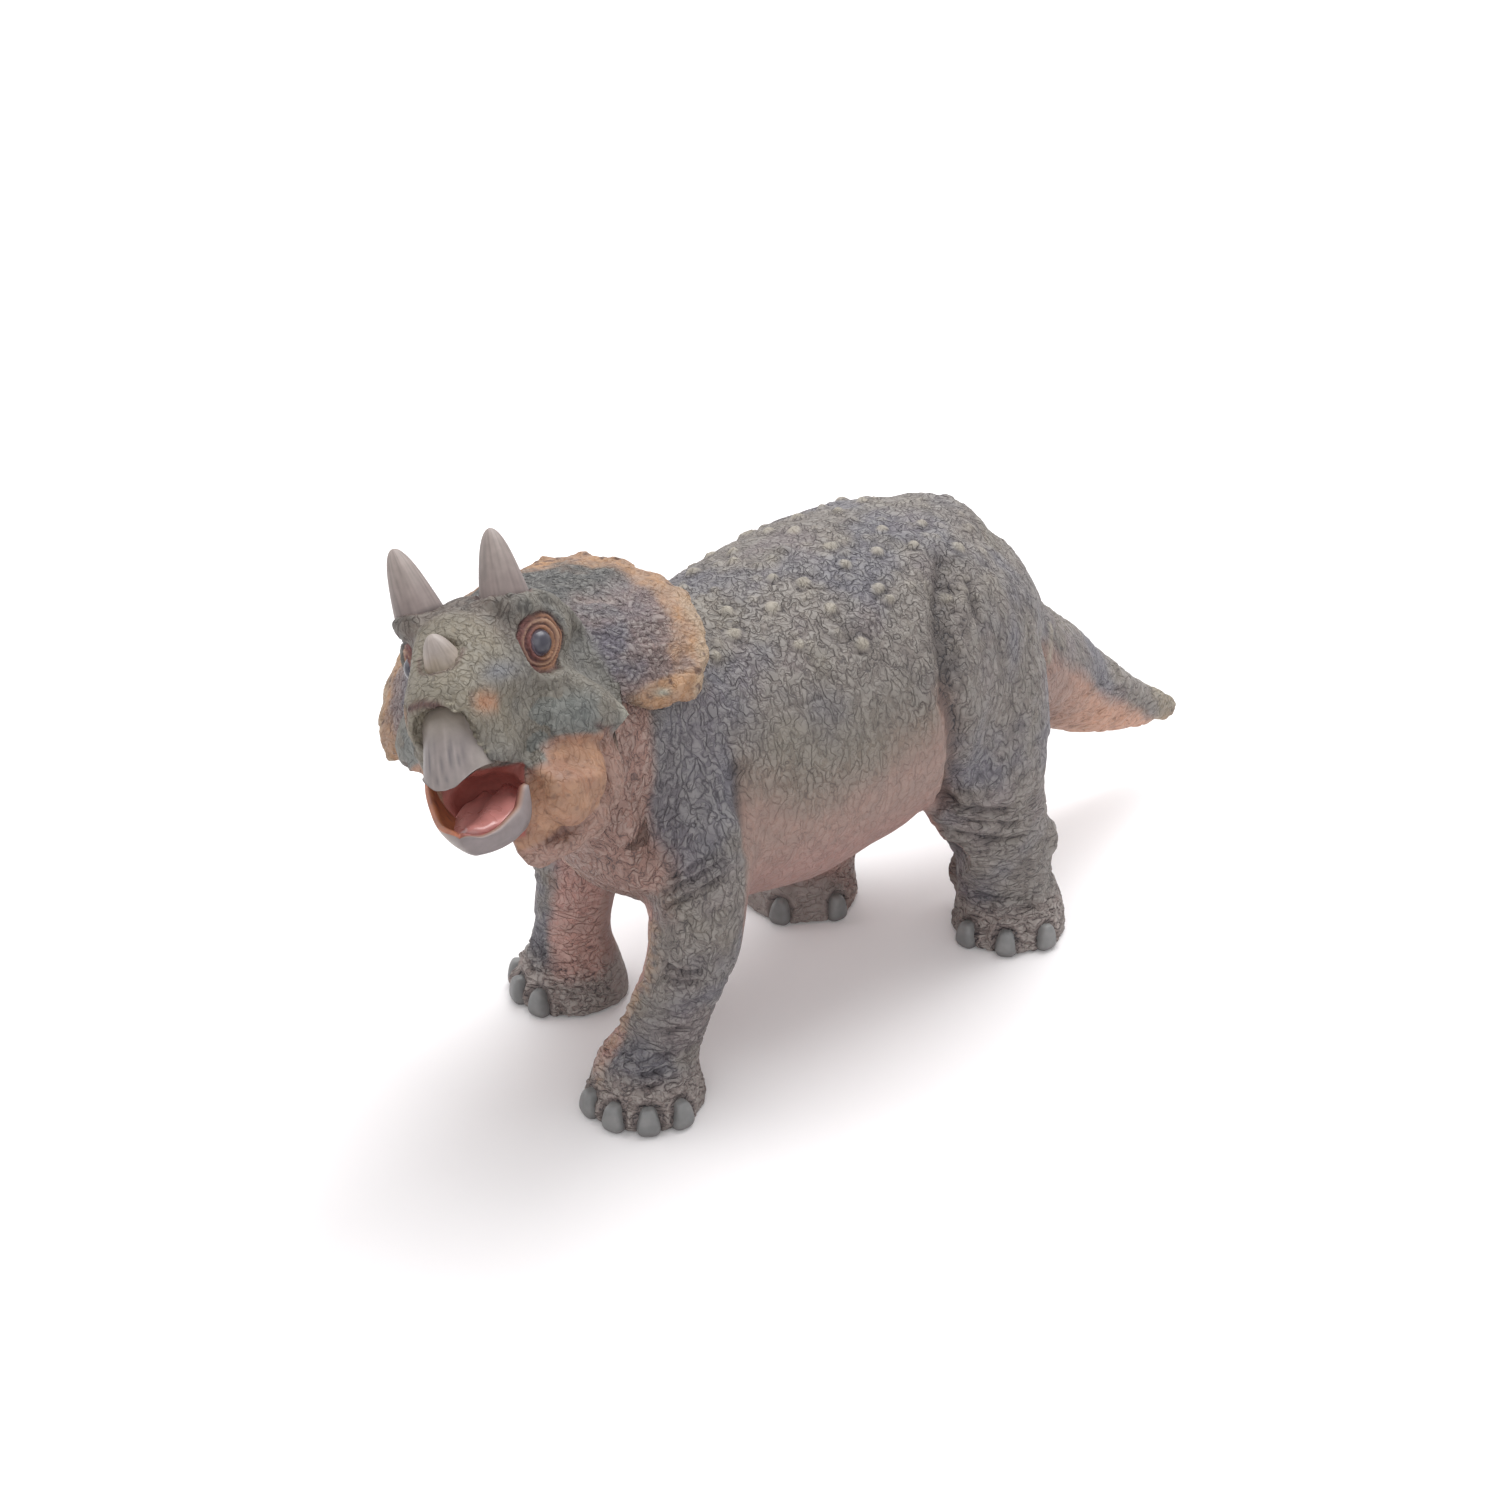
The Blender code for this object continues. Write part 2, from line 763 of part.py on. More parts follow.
def jaw_start():
    """How far in front of the brow the lower jaw meets the cheeks"""
    return face_length * jaw_seat_share


def trough_floor():
    return mouth_floor() - jaw_depth * jaw_shares[0][3] * trough_share


def trough_half_width():
    return mouth_width * jaw_shares[0][1] - jaw_wall


def mouth_space():
    """The open mouth: clear of everything in front of the jaw's seat, and a throat behind it"""
    palate = skull_depth * palate_share
    front = box("mouth_front", Vector((-skull_width, -face_length - overrun, -skull_depth - overrun)),
                Vector((skull_width, -jaw_start(), palate)))
    half_height = (palate - trough_floor()) / 2 * throat_swell
    half = Vector((trough_half_width(), face_length * throat_reach_share, half_height))
    throat = egg("mouth_throat", Vector((0, -jaw_start(), (palate + trough_floor()) / 2)), half)
    return front, throat


def jaw_rows(grown):
    """The lower jaw from its seat to its tip, with its foot and its rim"""
    rows = []
    for along, width, rim, foot in jaw_shares:
        forward = jaw_start() + seam_gap + jaw_length * along
        high = mouth_floor() + jaw_depth * rim + grown
        low = mouth_floor() - jaw_depth * foot - grown
        half = (high - low) / 2
        rows.append((Vector((0, -forward, (low + high) / 2)), mouth_width * width + grown, half, half))
    return rows


def jaw_trough():
    """The hollow of the lower jaw, open at the top and at the back"""
    rings = []
    for along, width, rim, _ in jaw_shares:
        forward = jaw_start() + seam_gap + (jaw_length - jaw_wall) * along
        if not rings:
            forward -= overrun
        high = mouth_floor() + jaw_depth * rim + overrun
        half = max(mouth_width * width - jaw_wall, jaw_wall / 2)
        foot = half * trough_foot_share
        outline = [(-half, high), (half, high), (foot, trough_floor()), (-foot, trough_floor())]
        rings.append([Vector((side, -forward, rise)) for side, rise in outline])
    return loft("jaw_trough", rings)


def jaw_key(grown):
    start = Vector((0, -jaw_start() - key_bite, mouth_floor() - jaw_depth * jaw_key_drop_share))
    return key_bar("jaw_key", start, Y, jaw_key_radius + grown, key_bite + jaw_key_length + grown, Z)


def tongue_shape():
    """The tongue, which lies along the trough and back into the throat"""
    rows = []
    for along, width, thick, lift in tongue_shares:
        half = tongue_thickness / 2 * thick
        rise = trough_floor() + seam_gap + half + tongue_thickness * lift
        half_width = trough_half_width() * trough_foot_share * width
        rows.append((Vector((0, -jaw_start() - jaw_length * along, rise)), half_width, half, half))
    return limb("tongue", rows, -X, small_sides)


def eye_place(side):
    return on_skull(side * eye_spacing / 2, *eye_shares)


def main():
    clear_scene()
    legs = [Leg("leg_front_left", 1, True, front_left_step, front_toe_turn, front_toe_spread),
            Leg("leg_front_right", -1, True, front_right_step, -front_toe_turn, front_toe_spread),
            Leg("leg_rear_left", 1, False, hind_left_step, hind_left_toe_turn, hind_left_toe_spread),
            Leg("leg_rear_right", -1, False, hind_right_step, hind_right_toe_turn, hind_right_toe_spread)]
    shapes = [torso_shape(), neck_shape(), tail_shape()]
    for leg in legs:
        shapes += leg.shapes()
    body = sculpt("body", shapes, body_voxel, 8, body_faces)

    torso = make_piece("torso", body.copy(), skin_green, 0.5)
    boolean(torso, make_cutter("neck_front", neck_front()), "DIFFERENCE")
    boolean(torso, make_cutter("neck_key", neck_key()), "UNION")
    boolean(torso, make_cutter("tail_room", tail_zone(seam_gap)), "DIFFERENCE")
    boolean(torso, make_cutter("tail_socket", tail_key(seam_gap)), "DIFFERENCE")
    for leg in legs:
        boolean(torso, leg.zone(seam_gap), "DIFFERENCE")
        boolean(torso, make_cutter(leg.name + "_socket", leg.key(seam_gap)), "DIFFERENCE")
    for leg in legs:
        leg.cast(body)

    tail = make_piece("tail", body.copy(), skin_green, 0.5, tail_seam())
    boolean(tail, make_cutter("tail_reach", tail_zone(0)), "INTERSECT")
    boolean(tail, make_cutter("tail_key", tail_key(0)), "UNION")

    pose = make_object("head_pose", None)
    pose.matrix_world = head_frame()
    shapes = [skull_shape(), throat_shape(), frill_shape()]
    for side in (1, -1):
        shapes += cheek_shapes(side)
    skull = make_piece("skull", sculpt("skull", shapes, head_voxel, 4, head_faces), skin_green, 0.5, parent=pose)
    for side, name in ((1, "brow_horn_left"), (-1, "brow_horn_right")):
        base, tip = brow_horn_ends(side)
        make_piece(name, horn_shape(name, base, tip, brow_horn_radius), horn_grey, 0.45, base.copy(), pose)
        seat(skull, horn_shape(name + "_seat", base, tip, brow_horn_radius, seam_gap), pose)
    base, tip = nose_horn_ends()
    make_piece("nose_horn", horn_shape("nose_horn", base, tip, nose_horn_radius), horn_grey, 0.45, base.copy(), pose)
    seat(skull, horn_shape("nose_horn_seat", base, tip, nose_horn_radius, seam_gap), pose)
    make_piece("upper_beak", beak_shape(0), horn_grey, 0.45, parent=pose)
    seat(skull, beak_shape(seam_gap), pose)
    for side, name in ((1, "eye_left"), (-1, "eye_right")):
        place = eye_place(side)
        size = Vector((eye_radius, eye_radius, eye_radius))
        make_piece(name, egg(name, place, size, None, small_sides), eye_dark, 0.12, place, pose)
        grown = size + Vector((seam_gap, seam_gap, seam_gap))
        seat(skull, egg(name + "_seat", place, grown, None, small_sides), pose)
    for tool in mouth_space():
        seat(skull, tool, pose)
    seat(skull, jaw_key(seam_gap), pose)

    jaw = make_piece("lower_beak", limb("lower_beak", jaw_rows(0), -X), horn_grey, 0.45, parent=pose)
    seat(jaw, jaw_trough(), pose)
    boolean(jaw, make_cutter("jaw_key", jaw_key(0), pose), "UNION")
    make_piece("tongue", tongue_shape(), mouth_red, 0.35, parent=pose)

    room = make_cutter("neck_room", evaluated_mesh(torso, "neck_room"))
    spread = room.modifiers.new("Spread", "DISPLACE")
    spread.strength = seam_gap
    spread.mid_level = 0
    boolean(skull, room, "DIFFERENCE")


main()
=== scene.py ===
# The looks of a painted toy dinosaur: its castings are fused, sculpted, painted and parted again
import json
from math import cos, pi, radians, sin

import bmesh
import bpy
import numpy as np
from mathutils import Euler, Matrix, Vector
from mathutils.bvhtree import BVHTree


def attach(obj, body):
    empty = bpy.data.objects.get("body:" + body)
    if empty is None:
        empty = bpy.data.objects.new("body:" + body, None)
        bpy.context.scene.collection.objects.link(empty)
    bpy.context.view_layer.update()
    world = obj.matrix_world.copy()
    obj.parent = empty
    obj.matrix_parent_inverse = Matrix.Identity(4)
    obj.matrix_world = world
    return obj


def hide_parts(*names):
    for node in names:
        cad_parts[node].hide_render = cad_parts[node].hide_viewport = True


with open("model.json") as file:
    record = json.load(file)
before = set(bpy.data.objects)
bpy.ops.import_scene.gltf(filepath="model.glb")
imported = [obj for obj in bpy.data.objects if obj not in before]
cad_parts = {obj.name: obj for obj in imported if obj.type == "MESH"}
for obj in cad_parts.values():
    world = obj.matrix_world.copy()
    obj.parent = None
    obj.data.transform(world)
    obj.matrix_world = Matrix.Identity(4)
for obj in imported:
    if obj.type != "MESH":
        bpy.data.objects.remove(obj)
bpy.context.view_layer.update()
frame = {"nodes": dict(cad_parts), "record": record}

mm = 0.001

# The camera, from the photograph
camera_azimuth = radians(47)
camera_height = radians(28)
camera_distance = 248 * mm
camera_target = Vector((-2.85, -8.5, 24.7)) * mm
lens_mm = 60
sensor_mm = 36

# The head's place and turn, midway between the brow horns
head_place = Vector((0.9, -44.7, 52.1)) * mm
head_turn = radians(30)
head_raise = radians(24)
head_tilt = radians(18.7)

# Fineness of the sculpted skins
gap_fill = 0.32
body_voxel = 0.50
head_voxel = 0.37

# A distance in millimetres that stands for any that is too far to matter
far_off = 9.0

legs = ("leg_front_left", "leg_front_right", "leg_rear_left", "leg_rear_right")
body_nodes = ("torso", "tail") + legs


# Numbers

def smooth(low, high, value):
    """0 below low, 1 above high, and an even curve between"""
    share = np.clip((value - low) / (high - low), 0, 1)
    return share * share * (3 - 2 * share)


def bell(distance, width):
    """1 at no distance, falling off evenly over a width"""
    return np.exp(-(distance / width) ** 2)


def mix(first, second, share):
    """first turned into second by a share; both may be colours"""
    share = np.asarray(share)
    if np.ndim(first) == 1 and np.ndim(share) == 1 and len(first) == 3 and len(share) != 3:
        share = share[:, None]
    elif np.ndim(first) == 2 and np.ndim(share) == 1:
        share = share[:, None]
    return np.asarray(first) * (1 - share) + np.asarray(second) * share


def hashed(i, j, k, seed):
    """A whole number for each lattice point, stirred by large odd numbers"""
    n = (i * 374761393 + j * 668265263 + k * 1440662683 + seed * 974634777) & 0xFFFFFFFF
    n = ((n ^ (n >> 13)) * 1274126177) & 0xFFFFFFFF
    return n ^ (n >> 16)


def scatter(i, j, k, seed):
    """Numbers from 0 to 1, one for each lattice point"""
    return (hashed(i, j, k, seed) & 0xFFFFFF) / 0xFFFFFF


slopes = np.random.default_rng(7).uniform(-1, 1, (4096, 3))


def noise(points, size, seed=0):
    """Gradient noise from about -1 to 1, with lumps about size across"""
    q = points / size
    base = np.floor(q).astype(np.int64)
    part = q - base
    ease = part * part * part * (part * (part * 6 - 15) + 10)
    total = np.zeros(len(q))
    for corner in range(8):
        step = np.array([corner & 1, corner >> 1 & 1, corner >> 2 & 1])
        i, j, k = (base + step).T
        lean = (slopes[hashed(i, j, k, seed) & 4095] * (part - step)).sum(axis=1)
        weight = np.where(step, ease, 1 - ease).prod(axis=1)
        total += weight * lean
    return total * 1.6


def clouds(points, size, octaves=3, seed=0):
    """Noise with ever finer and weaker noise laid over it"""
    total = np.zeros(len(points))
    for octave in range(octaves):
        total += noise(points, size / 2 ** octave, seed + 31 * octave) / 2 ** octave
    return total / 1.5


def wander(points, size, reach, seed=0):
    """Points pushed about by noise, so that what is laid over them bends"""
    push = np.stack([noise(points, size, seed + 101 * axis) for axis in range(3)], axis=1)
    return points + push * reach


def cells(points, size, seed=0):
    """Distance to the nearest and the second nearest scattered seed, in lattice sizes, and the cell's number"""
    q = points / size
    base = np.floor(q).astype(np.int64)
    first = np.full(len(q), 9.0)
    second = np.full(len(q), 9.0)
    number = np.zeros(len(q))
    for di in (-1, 0, 1):
        for dj in (-1, 0, 1):
            for dk in (-1, 0, 1):
                i, j, k = base[:, 0] + di, base[:, 1] + dj, base[:, 2] + dk
                away = np.stack([i + scatter(i, j, k, seed), j + scatter(i, j, k, seed + 1),
                                 k + scatter(i, j, k, seed + 2)], axis=1) - q
                distance = np.sqrt((away * away).sum(axis=1))
                nearer = distance < first
                second = np.where(nearer, first, np.minimum(second, distance))
                number = np.where(nearer, scatter(i, j, k, seed + 3), number)
                first = np.where(nearer, distance, first)
    return first, second, number


def turned(points, azimuth, lean=0, stretch=(1, 1, 1)):
    """Points in a turned frame, drawn out along its axes"""
    frame_turn = Euler((lean, 0, azimuth)).to_matrix()
    return points @ np.array(frame_turn) / np.array(stretch)


def furrows(points, size, seed=0):
    """Creases where noise passes through nought: 1 in the crease and 0 away from it"""
    return 1 - smooth(0.02, 0.22, np.abs(noise(points, size, seed)))


# Places

def camera_eye():
    """Where the camera stands, and the way back to it from its target"""
    back = Vector((sin(camera_azimuth) * cos(camera_height), -cos(camera_azimuth) * cos(camera_height),
                   sin(camera_height)))
    return camera_target + back * camera_distance, back


def head_matrix():
    turn = Euler((-head_raise, 0, head_turn), "XYZ").to_matrix() @ Matrix.Rotation(-head_tilt, 3, "Y")
    return Matrix.Translation(head_place) @ turn.to_4x4()


# Meshes

def make_mesh(name, points, faces):
    mesh = bpy.data.meshes.new(name)
    mesh.from_pydata(points, [], faces)
    tidy = bmesh.new()
    tidy.from_mesh(mesh)
    bmesh.ops.recalc_face_normals(tidy, faces=tidy.faces)
    tidy.to_mesh(mesh)
    tidy.free()
    return mesh


def make_object(name, mesh):
    thing = bpy.data.objects.new(name, mesh)
    bpy.context.collection.objects.link(thing)
    return thing


def evaluated(thing):
    """A mesh as its object's modifiers leave it"""
    view = bpy.context.evaluated_depsgraph_get()
    view.update()
    return bpy.data.meshes.new_from_object(thing.evaluated_get(view))


def world_mesh(node):
    """A copy of a casting's mesh, in the frame's own place"""
    source = frame["nodes"][node]
    mesh = source.data.copy()
    mesh.transform(source.matrix_world)
    return mesh


def joined(name, meshes):
    both = bmesh.new()
    for mesh in meshes:
        both.from_mesh(mesh)
    bmesh.ops.remove_doubles(both, verts=both.verts, dist=0.001 * mm)
    mesh = bpy.data.meshes.new(name)
    both.to_mesh(mesh)
    both.free()
    return mesh


def ball_mesh(name, segments, rings, radius=1, place=None):
    """A round mesh that other shapes are drawn out of"""
    ball = bmesh.new()
    bmesh.ops.create_uvsphere(ball, u_segments=segments, v_segments=rings, radius=radius)
    if place:
        ball.transform(place)
    mesh = bpy.data.meshes.new(name)
    ball.to_mesh(mesh)
    ball.free()
    return mesh


def fused(name, meshes, voxel, passes, grown=gap_fill):
    """One even skin over castings and clay: grown until they meet, remeshed, drawn back and subdivided"""
    lump = make_object(name, joined(name, meshes))
    grow = lump.modifiers.new("Grow", "DISPLACE")
    grow.strength = grown * mm
    grow.mid_level = 0
    skin = lump.modifiers.new("Skin", "REMESH")
    skin.mode = "VOXEL"
    skin.voxel_size = voxel * mm
    draw = lump.modifiers.new("Draw back", "DISPLACE")
    draw.strength = -grown * mm
    draw.mid_level = 0
    soft = lump.modifiers.new("Soften", "SMOOTH")
    soft.factor = 0.5
    soft.iterations = passes
    fine = lump.modifiers.new("Finer", "SUBSURF")
    fine.levels = 1
    fine.render_levels = 1
    mesh = evaluated(lump)
    bpy.data.objects.remove(lump, do_unlink=True)
    return mesh


class Skin:
    """A fine closed mesh held as arrays, in millimetres"""

    def __init__(self, mesh):
        count = len(mesh.vertices)
        flat = np.empty(count * 3)
        mesh.vertices.foreach_get("co", flat)
        self.points = flat.reshape(-1, 3) / mm
        loops = np.empty(len(mesh.loops), dtype=np.int32)
        mesh.loops.foreach_get("vertex_index", loops)
        self.quads = loops.reshape(-1, 4)
        self.measure()

    def measure(self):
        """Normals of the points as they now lie"""
        a, b, c, d = (self.points[self.quads[:, i]] for i in range(4))
        flat = np.cross(c - a, d - b)
        total = np.zeros_like(self.points)
        for i in range(4):
            for axis in range(3):
                total[:, axis] += np.bincount(self.quads[:, i], flat[:, axis], len(self.points))
        self.normals = total / np.linalg.norm(total, axis=1)[:, None]

    def triangles(self):
        a, b, c, d = self.quads.T
        return np.concatenate([np.stack([a, b, c], 1), np.stack([a, c, d], 1)])

    def push(self, height):
        self.points = self.points + self.normals * height[:, None]

    def spread(self, values, rounds):
        """Values averaged with their neighbours'"""
        ends = np.concatenate([self.quads[:, [i, (i + 1) % 4]] for i in range(4)])
        ends = np.concatenate([ends, ends[:, ::-1]])
        total = np.bincount(ends[:, 0], minlength=len(self.points))
        for _ in range(rounds):
            near = np.bincount(ends[:, 0], values[ends[:, 1]], len(self.points))
            values = (values + near / total) / 2
        return values


def distances(points, node, reach=3):
    """How far each point lies from a casting, in millimetres; far points are only known to be far"""
    mesh = world_mesh(node)
    shape = bmesh.new()
    shape.from_mesh(mesh)
    tree = BVHTree.FromBMesh(shape)
    shape.free()
    box = np.array([point.co for point in mesh.vertices]) / mm
    low, high = box.min(axis=0) - reach, box.max(axis=0) + reach
    near = np.flatnonzero(((points > low) & (points < high)).all(axis=1))
    made = np.full(len(points), far_off)
    made[near] = [tree.find_nearest(Vector(point))[3] / mm for point in points[near] * mm]
    return made


def edges_of(triangles):
    """The three edges of each triangle, running round it"""
    return np.concatenate([triangles[:, [0, 1]], triangles[:, [1, 2]], triangles[:, [2, 0]]])


def parted(skin, nodes):
    """Cuts a skin along the castings' seams: the triangles nearest to each node, the first of which meets all"""
    triangles = skin.triangles()
    ends = edges_of(triangles)
    others = [distances(skin.points, node) for node in nodes[1:]]
    met = np.min(others, axis=0) < far_off
    main = np.zeros(len(skin.points))
    main[met] = distances(skin.points[met], nodes[0], 50)
    owner = np.zeros(len(triangles), dtype=int)
    for number, other in enumerate(others, 1):
        field = np.min([main] + others[:number - 1] + others[number:], axis=0) - other
        start = field.copy()
        crossing = ends[field[ends[:, 0]] * field[ends[:, 1]] < 0]
        share = field[crossing[:, 0]] / (field[crossing[:, 0]] - field[crossing[:, 1]])
        place = mix(skin.points[crossing[:, 0]], skin.points[crossing[:, 1]], share)
        near = np.where(share < 0.5, crossing[:, 0], crossing[:, 1])
        order = np.argsort(-np.minimum(share, 1 - share))
        skin.points[near[order]] = place[order]
        field[near] = 0
        total = field[triangles].sum(axis=1)
        total = np.where(total == 0, start[triangles].sum(axis=1), total)
        owner[total > 0] = number
    return {node: triangles[owner == number] for number, node in enumerate(nodes)}


def rims(triangles):
    """The open rims of a set of triangles, each as a ring of point numbers"""
    ends = edges_of(triangles).astype(np.int64)
    size = int(triangles.max()) + 1
    there = ends[:, 0] * size + ends[:, 1]
    back = ends[:, 1] * size + ends[:, 0]
    ahead = {}
    for start, end in ends[~np.isin(there, back)]:
        ahead.setdefault(int(start), []).append(int(end))
    rings = []
    while ahead:
        start = next(iter(ahead))
        ring = [start]
        while True:
            nexts = ahead[ring[-1]]
            step = nexts.pop()
            if not nexts:
                del ahead[ring[-1]]
            if step == start:
                break
            ring.append(step)
        rings.append(ring)
    return rings


def closed_piece(name, skin, triangles, layers, material):
    """A piece of a skin as an object, closed over its cuts"""
    used = np.unique(triangles)
    number = np.full(len(skin.points), -1)
    number[used] = np.arange(len(used))
    points = skin.points[used]
    faces = number[triangles]
    values = {key: layer[used] for key, layer in layers.items()}
    cuts = []
    for ring in rims(faces):
        middle = len(points)
        points = np.concatenate([points, points[ring].mean(axis=0)[None]])
        values = {key: np.concatenate([layer, layer[ring].mean(axis=0)[None]]) for key, layer in values.items()}
        fan = np.stack([np.roll(ring, -1), ring, np.full(len(ring), middle)], axis=1)
        faces = np.concatenate([faces, fan])
        cuts.append(np.stack([ring, np.roll(ring, -1)], axis=1))
    mesh = bpy.data.meshes.new(name)
    mesh.from_pydata(points * mm, [], faces)
    for key, layer in values.items():
        set_layer(mesh, key, layer)
    mesh.shade_smooth()
    if cuts:
        sharpen(mesh, np.concatenate(cuts), len(points))
    mesh.materials.append(material)
    return make_object(name, mesh)


def sharpen(mesh, cuts, count):
    """Marks the edges of the cuts sharp, so that the skin's shading stops there"""
    ends = np.empty(len(mesh.edges) * 2, dtype=np.int32)
    mesh.edges.foreach_get("vertices", ends)
    ends = np.sort(ends.reshape(-1, 2), axis=1).astype(np.int64)
    cuts = np.sort(cuts, axis=1).astype(np.int64)
    sharp = np.isin(ends[:, 0] * count + ends[:, 1], cuts[:, 0] * count + cuts[:, 1])
    mesh.attributes.new("sharp_edge", "BOOLEAN", "EDGE").data.foreach_set("value", sharp)


def set_layer(mesh, name, values):
    if values.ndim == 1:
        layer = mesh.attributes.new(name, "FLOAT", "POINT")
        layer.data.foreach_set("value", values.astype(np.float32))
    else:
        layer = mesh.attributes.new(name, "FLOAT_COLOR", "POINT")
        layer.data.foreach_set("color", np.c_[values, np.ones(len(values))].astype(np.float32).ravel())


# Colours

def colour(red, green, blue):
    """A colour as it looks, from 0 to 255, turned into the strength of its light"""
    look = np.array([red, green, blue]) / 255
    return np.where(look <= 0.04045, look / 12.92, ((look + 0.055) / 1.055) ** 2.4)


grey_green = colour(130, 122, 117)
blue_grey = colour(112, 109, 116)
purple_grey = colour(124, 112, 116)
olive = colour(126, 118, 107)
olive_pink = colour(142, 124, 112)
salmon = colour(154, 127, 117)
salmon_low = colour(160, 124, 116)
chest_brown = colour(146, 114, 104)
chest_ochre = colour(190, 148, 126)
maroon = colour(188, 144, 134)
foot_grey = colour(138, 126, 122)
tail_orange = colour(192, 147, 124)
tail_tip = colour(142, 130, 110)
parting_ochre = colour(168, 140, 116)
pale_ochre = colour(166, 158, 144)
nail_grey = colour(122, 122, 122)
nail_pale = colour(136, 135, 134)
# Painted shade at the foot of the nails
nail_shade = colour(108, 102, 100)


# Nodes

def link(tree, start, end):
    tree.links.new(start, end)


def node(tree, kind, **values):
    made = tree.nodes.new("ShaderNode" + kind)
    for key, value in values.items():
        if hasattr(made, key):
            setattr(made, key, value)
        else:
            made.inputs[key.replace("_", " ")].default_value = value
    return made


def math_node(tree, operation, first, second=None, clamp=False):
    made = node(tree, "Math", operation=operation, use_clamp=clamp)
    for socket, value in zip(made.inputs, (first, second)):
        if value is None:
            continue
        if isinstance(value, (int, float)):
            socket.default_value = value
        else:
            link(tree, value, socket)
    return made.outputs[0]


def ramp(tree, value, low, high, start=0.0, end=1.0):
    made = node(tree, "MapRange", interpolation_type="SMOOTHSTEP")
    link(tree, value, made.inputs["Value"])
    for key, number in (("From Min", low), ("From Max", high), ("To Min", start), ("To Max", end)):
        made.inputs[key].default_value = number
    return made.outputs["Result"]


def blend_colours(tree, share, first, second):
    made = node(tree, "Mix", data_type="RGBA")
    for socket, value in ((made.inputs[0], share), (made.inputs[6], first), (made.inputs[7], second)):
        if isinstance(value, (int, float)):
            socket.default_value = value
        elif isinstance(value, bpy.types.NodeSocket):
            link(tree, value, socket)
        else:
            socket.default_value = (*value, 1)
    return made.outputs[2]


def group(name, inputs, outputs):
    tree = bpy.data.node_groups.new(name, "ShaderNodeTree")
    for label, kind, value in inputs:
        socket = tree.interface.new_socket(label, in_out="INPUT", socket_type="NodeSocket" + kind)
        if value is not None:
            socket.default_value = value
    for label, kind in outputs:
        tree.interface.new_socket(label, in_out="OUTPUT", socket_type="NodeSocket" + kind)
    return tree, tree.nodes.new("NodeGroupInput").outputs, tree.nodes.new("NodeGroupOutput").inputs


def new_material(name):
    material = bpy.data.materials.new(name)
    material.use_nodes = True
    return material, material.node_tree, material.node_tree.nodes["Principled BSDF"]


def wrinkle_group():
    """Fine wrinkles of cast skin: rounded ridges, and thin broken lines in the creases between them"""
    tree, given, made = group("Fine wrinkles", [
        ("Size", "Float", 1.0), ("Stretch", "Vector", (1, 1, 1)), ("Seed", "Float", 0)],
        [("Height", "Float"), ("Line", "Float")])
    place = node(tree, "TexCoord")
    drawn = node(tree, "VectorMath", operation="DIVIDE")
    link(tree, place.outputs["Object"], drawn.inputs[0])
    link(tree, given["Stretch"], drawn.inputs[1])
    scaled = node(tree, "VectorMath", operation="SCALE")
    link(tree, drawn.outputs[0], scaled.inputs[0])
    link(tree, math_node(tree, "DIVIDE", 1000.0, given["Size"]), scaled.inputs["Scale"])
    moved = node(tree, "VectorMath", operation="ADD")
    link(tree, scaled.outputs[0], moved.inputs[0])
    link(tree, given["Seed"], moved.inputs[1])
    warp = node(tree, "TexNoise", Scale=0.6, Detail=1.0)
    link(tree, moved.outputs[0], warp.inputs["Vector"])
    bent = node(tree, "VectorMath", operation="MULTIPLY_ADD")
    link(tree, warp.outputs["Color"], bent.inputs[0])
    bent.inputs[1].default_value = (1.8, 1.8, 1.8)
    link(tree, moved.outputs[0], bent.inputs[2])
    worm = node(tree, "TexNoise", Scale=1.0, Detail=0.8)
    link(tree, bent.outputs[0], worm.inputs["Vector"])
    gate = node(tree, "TexNoise", noise_dimensions="4D", W=7.0, Scale=1.5, Detail=0.0)
    link(tree, bent.outputs[0], gate.inputs["Vector"])
    away = math_node(tree, "ABSOLUTE", math_node(tree, "SUBTRACT", worm.outputs["Fac"], 0.5))
    height = ramp(tree, away, 0.0, 0.09)
    broken = ramp(tree, gate.outputs["Fac"], 0.45, 0.54)
    line = math_node(tree, "MULTIPLY", ramp(tree, away, 0.006, 0.030, 1.0, 0.0), broken)
    link(tree, height, made["Height"])
    link(tree, line, made["Line"])
    return tree


def wrinkles(tree, fine, size, stretch, seed):
    made = tree.nodes.new("ShaderNodeGroup")
    made.node_tree = fine
    made.inputs["Size"].default_value = size
    made.inputs["Stretch"].default_value = stretch
    made.inputs["Seed"].default_value = seed
    return made


def blend_values(tree, share, first, second):
    made = node(tree, "Mix", data_type="FLOAT")
    link(tree, share, made.inputs[0])
    link(tree, first, made.inputs[2])
    link(tree, second, made.inputs[3])
    return made.outputs[0]


# The dark wash that darkens the grooves, partly painted shade in the deep creases, and the painted highlight laid
# pale over the ridge tops
wash_and_shade_colour = (0.034, 0.030, 0.034)
ridge_highlight_colour = (0.42, 0.41, 0.38)


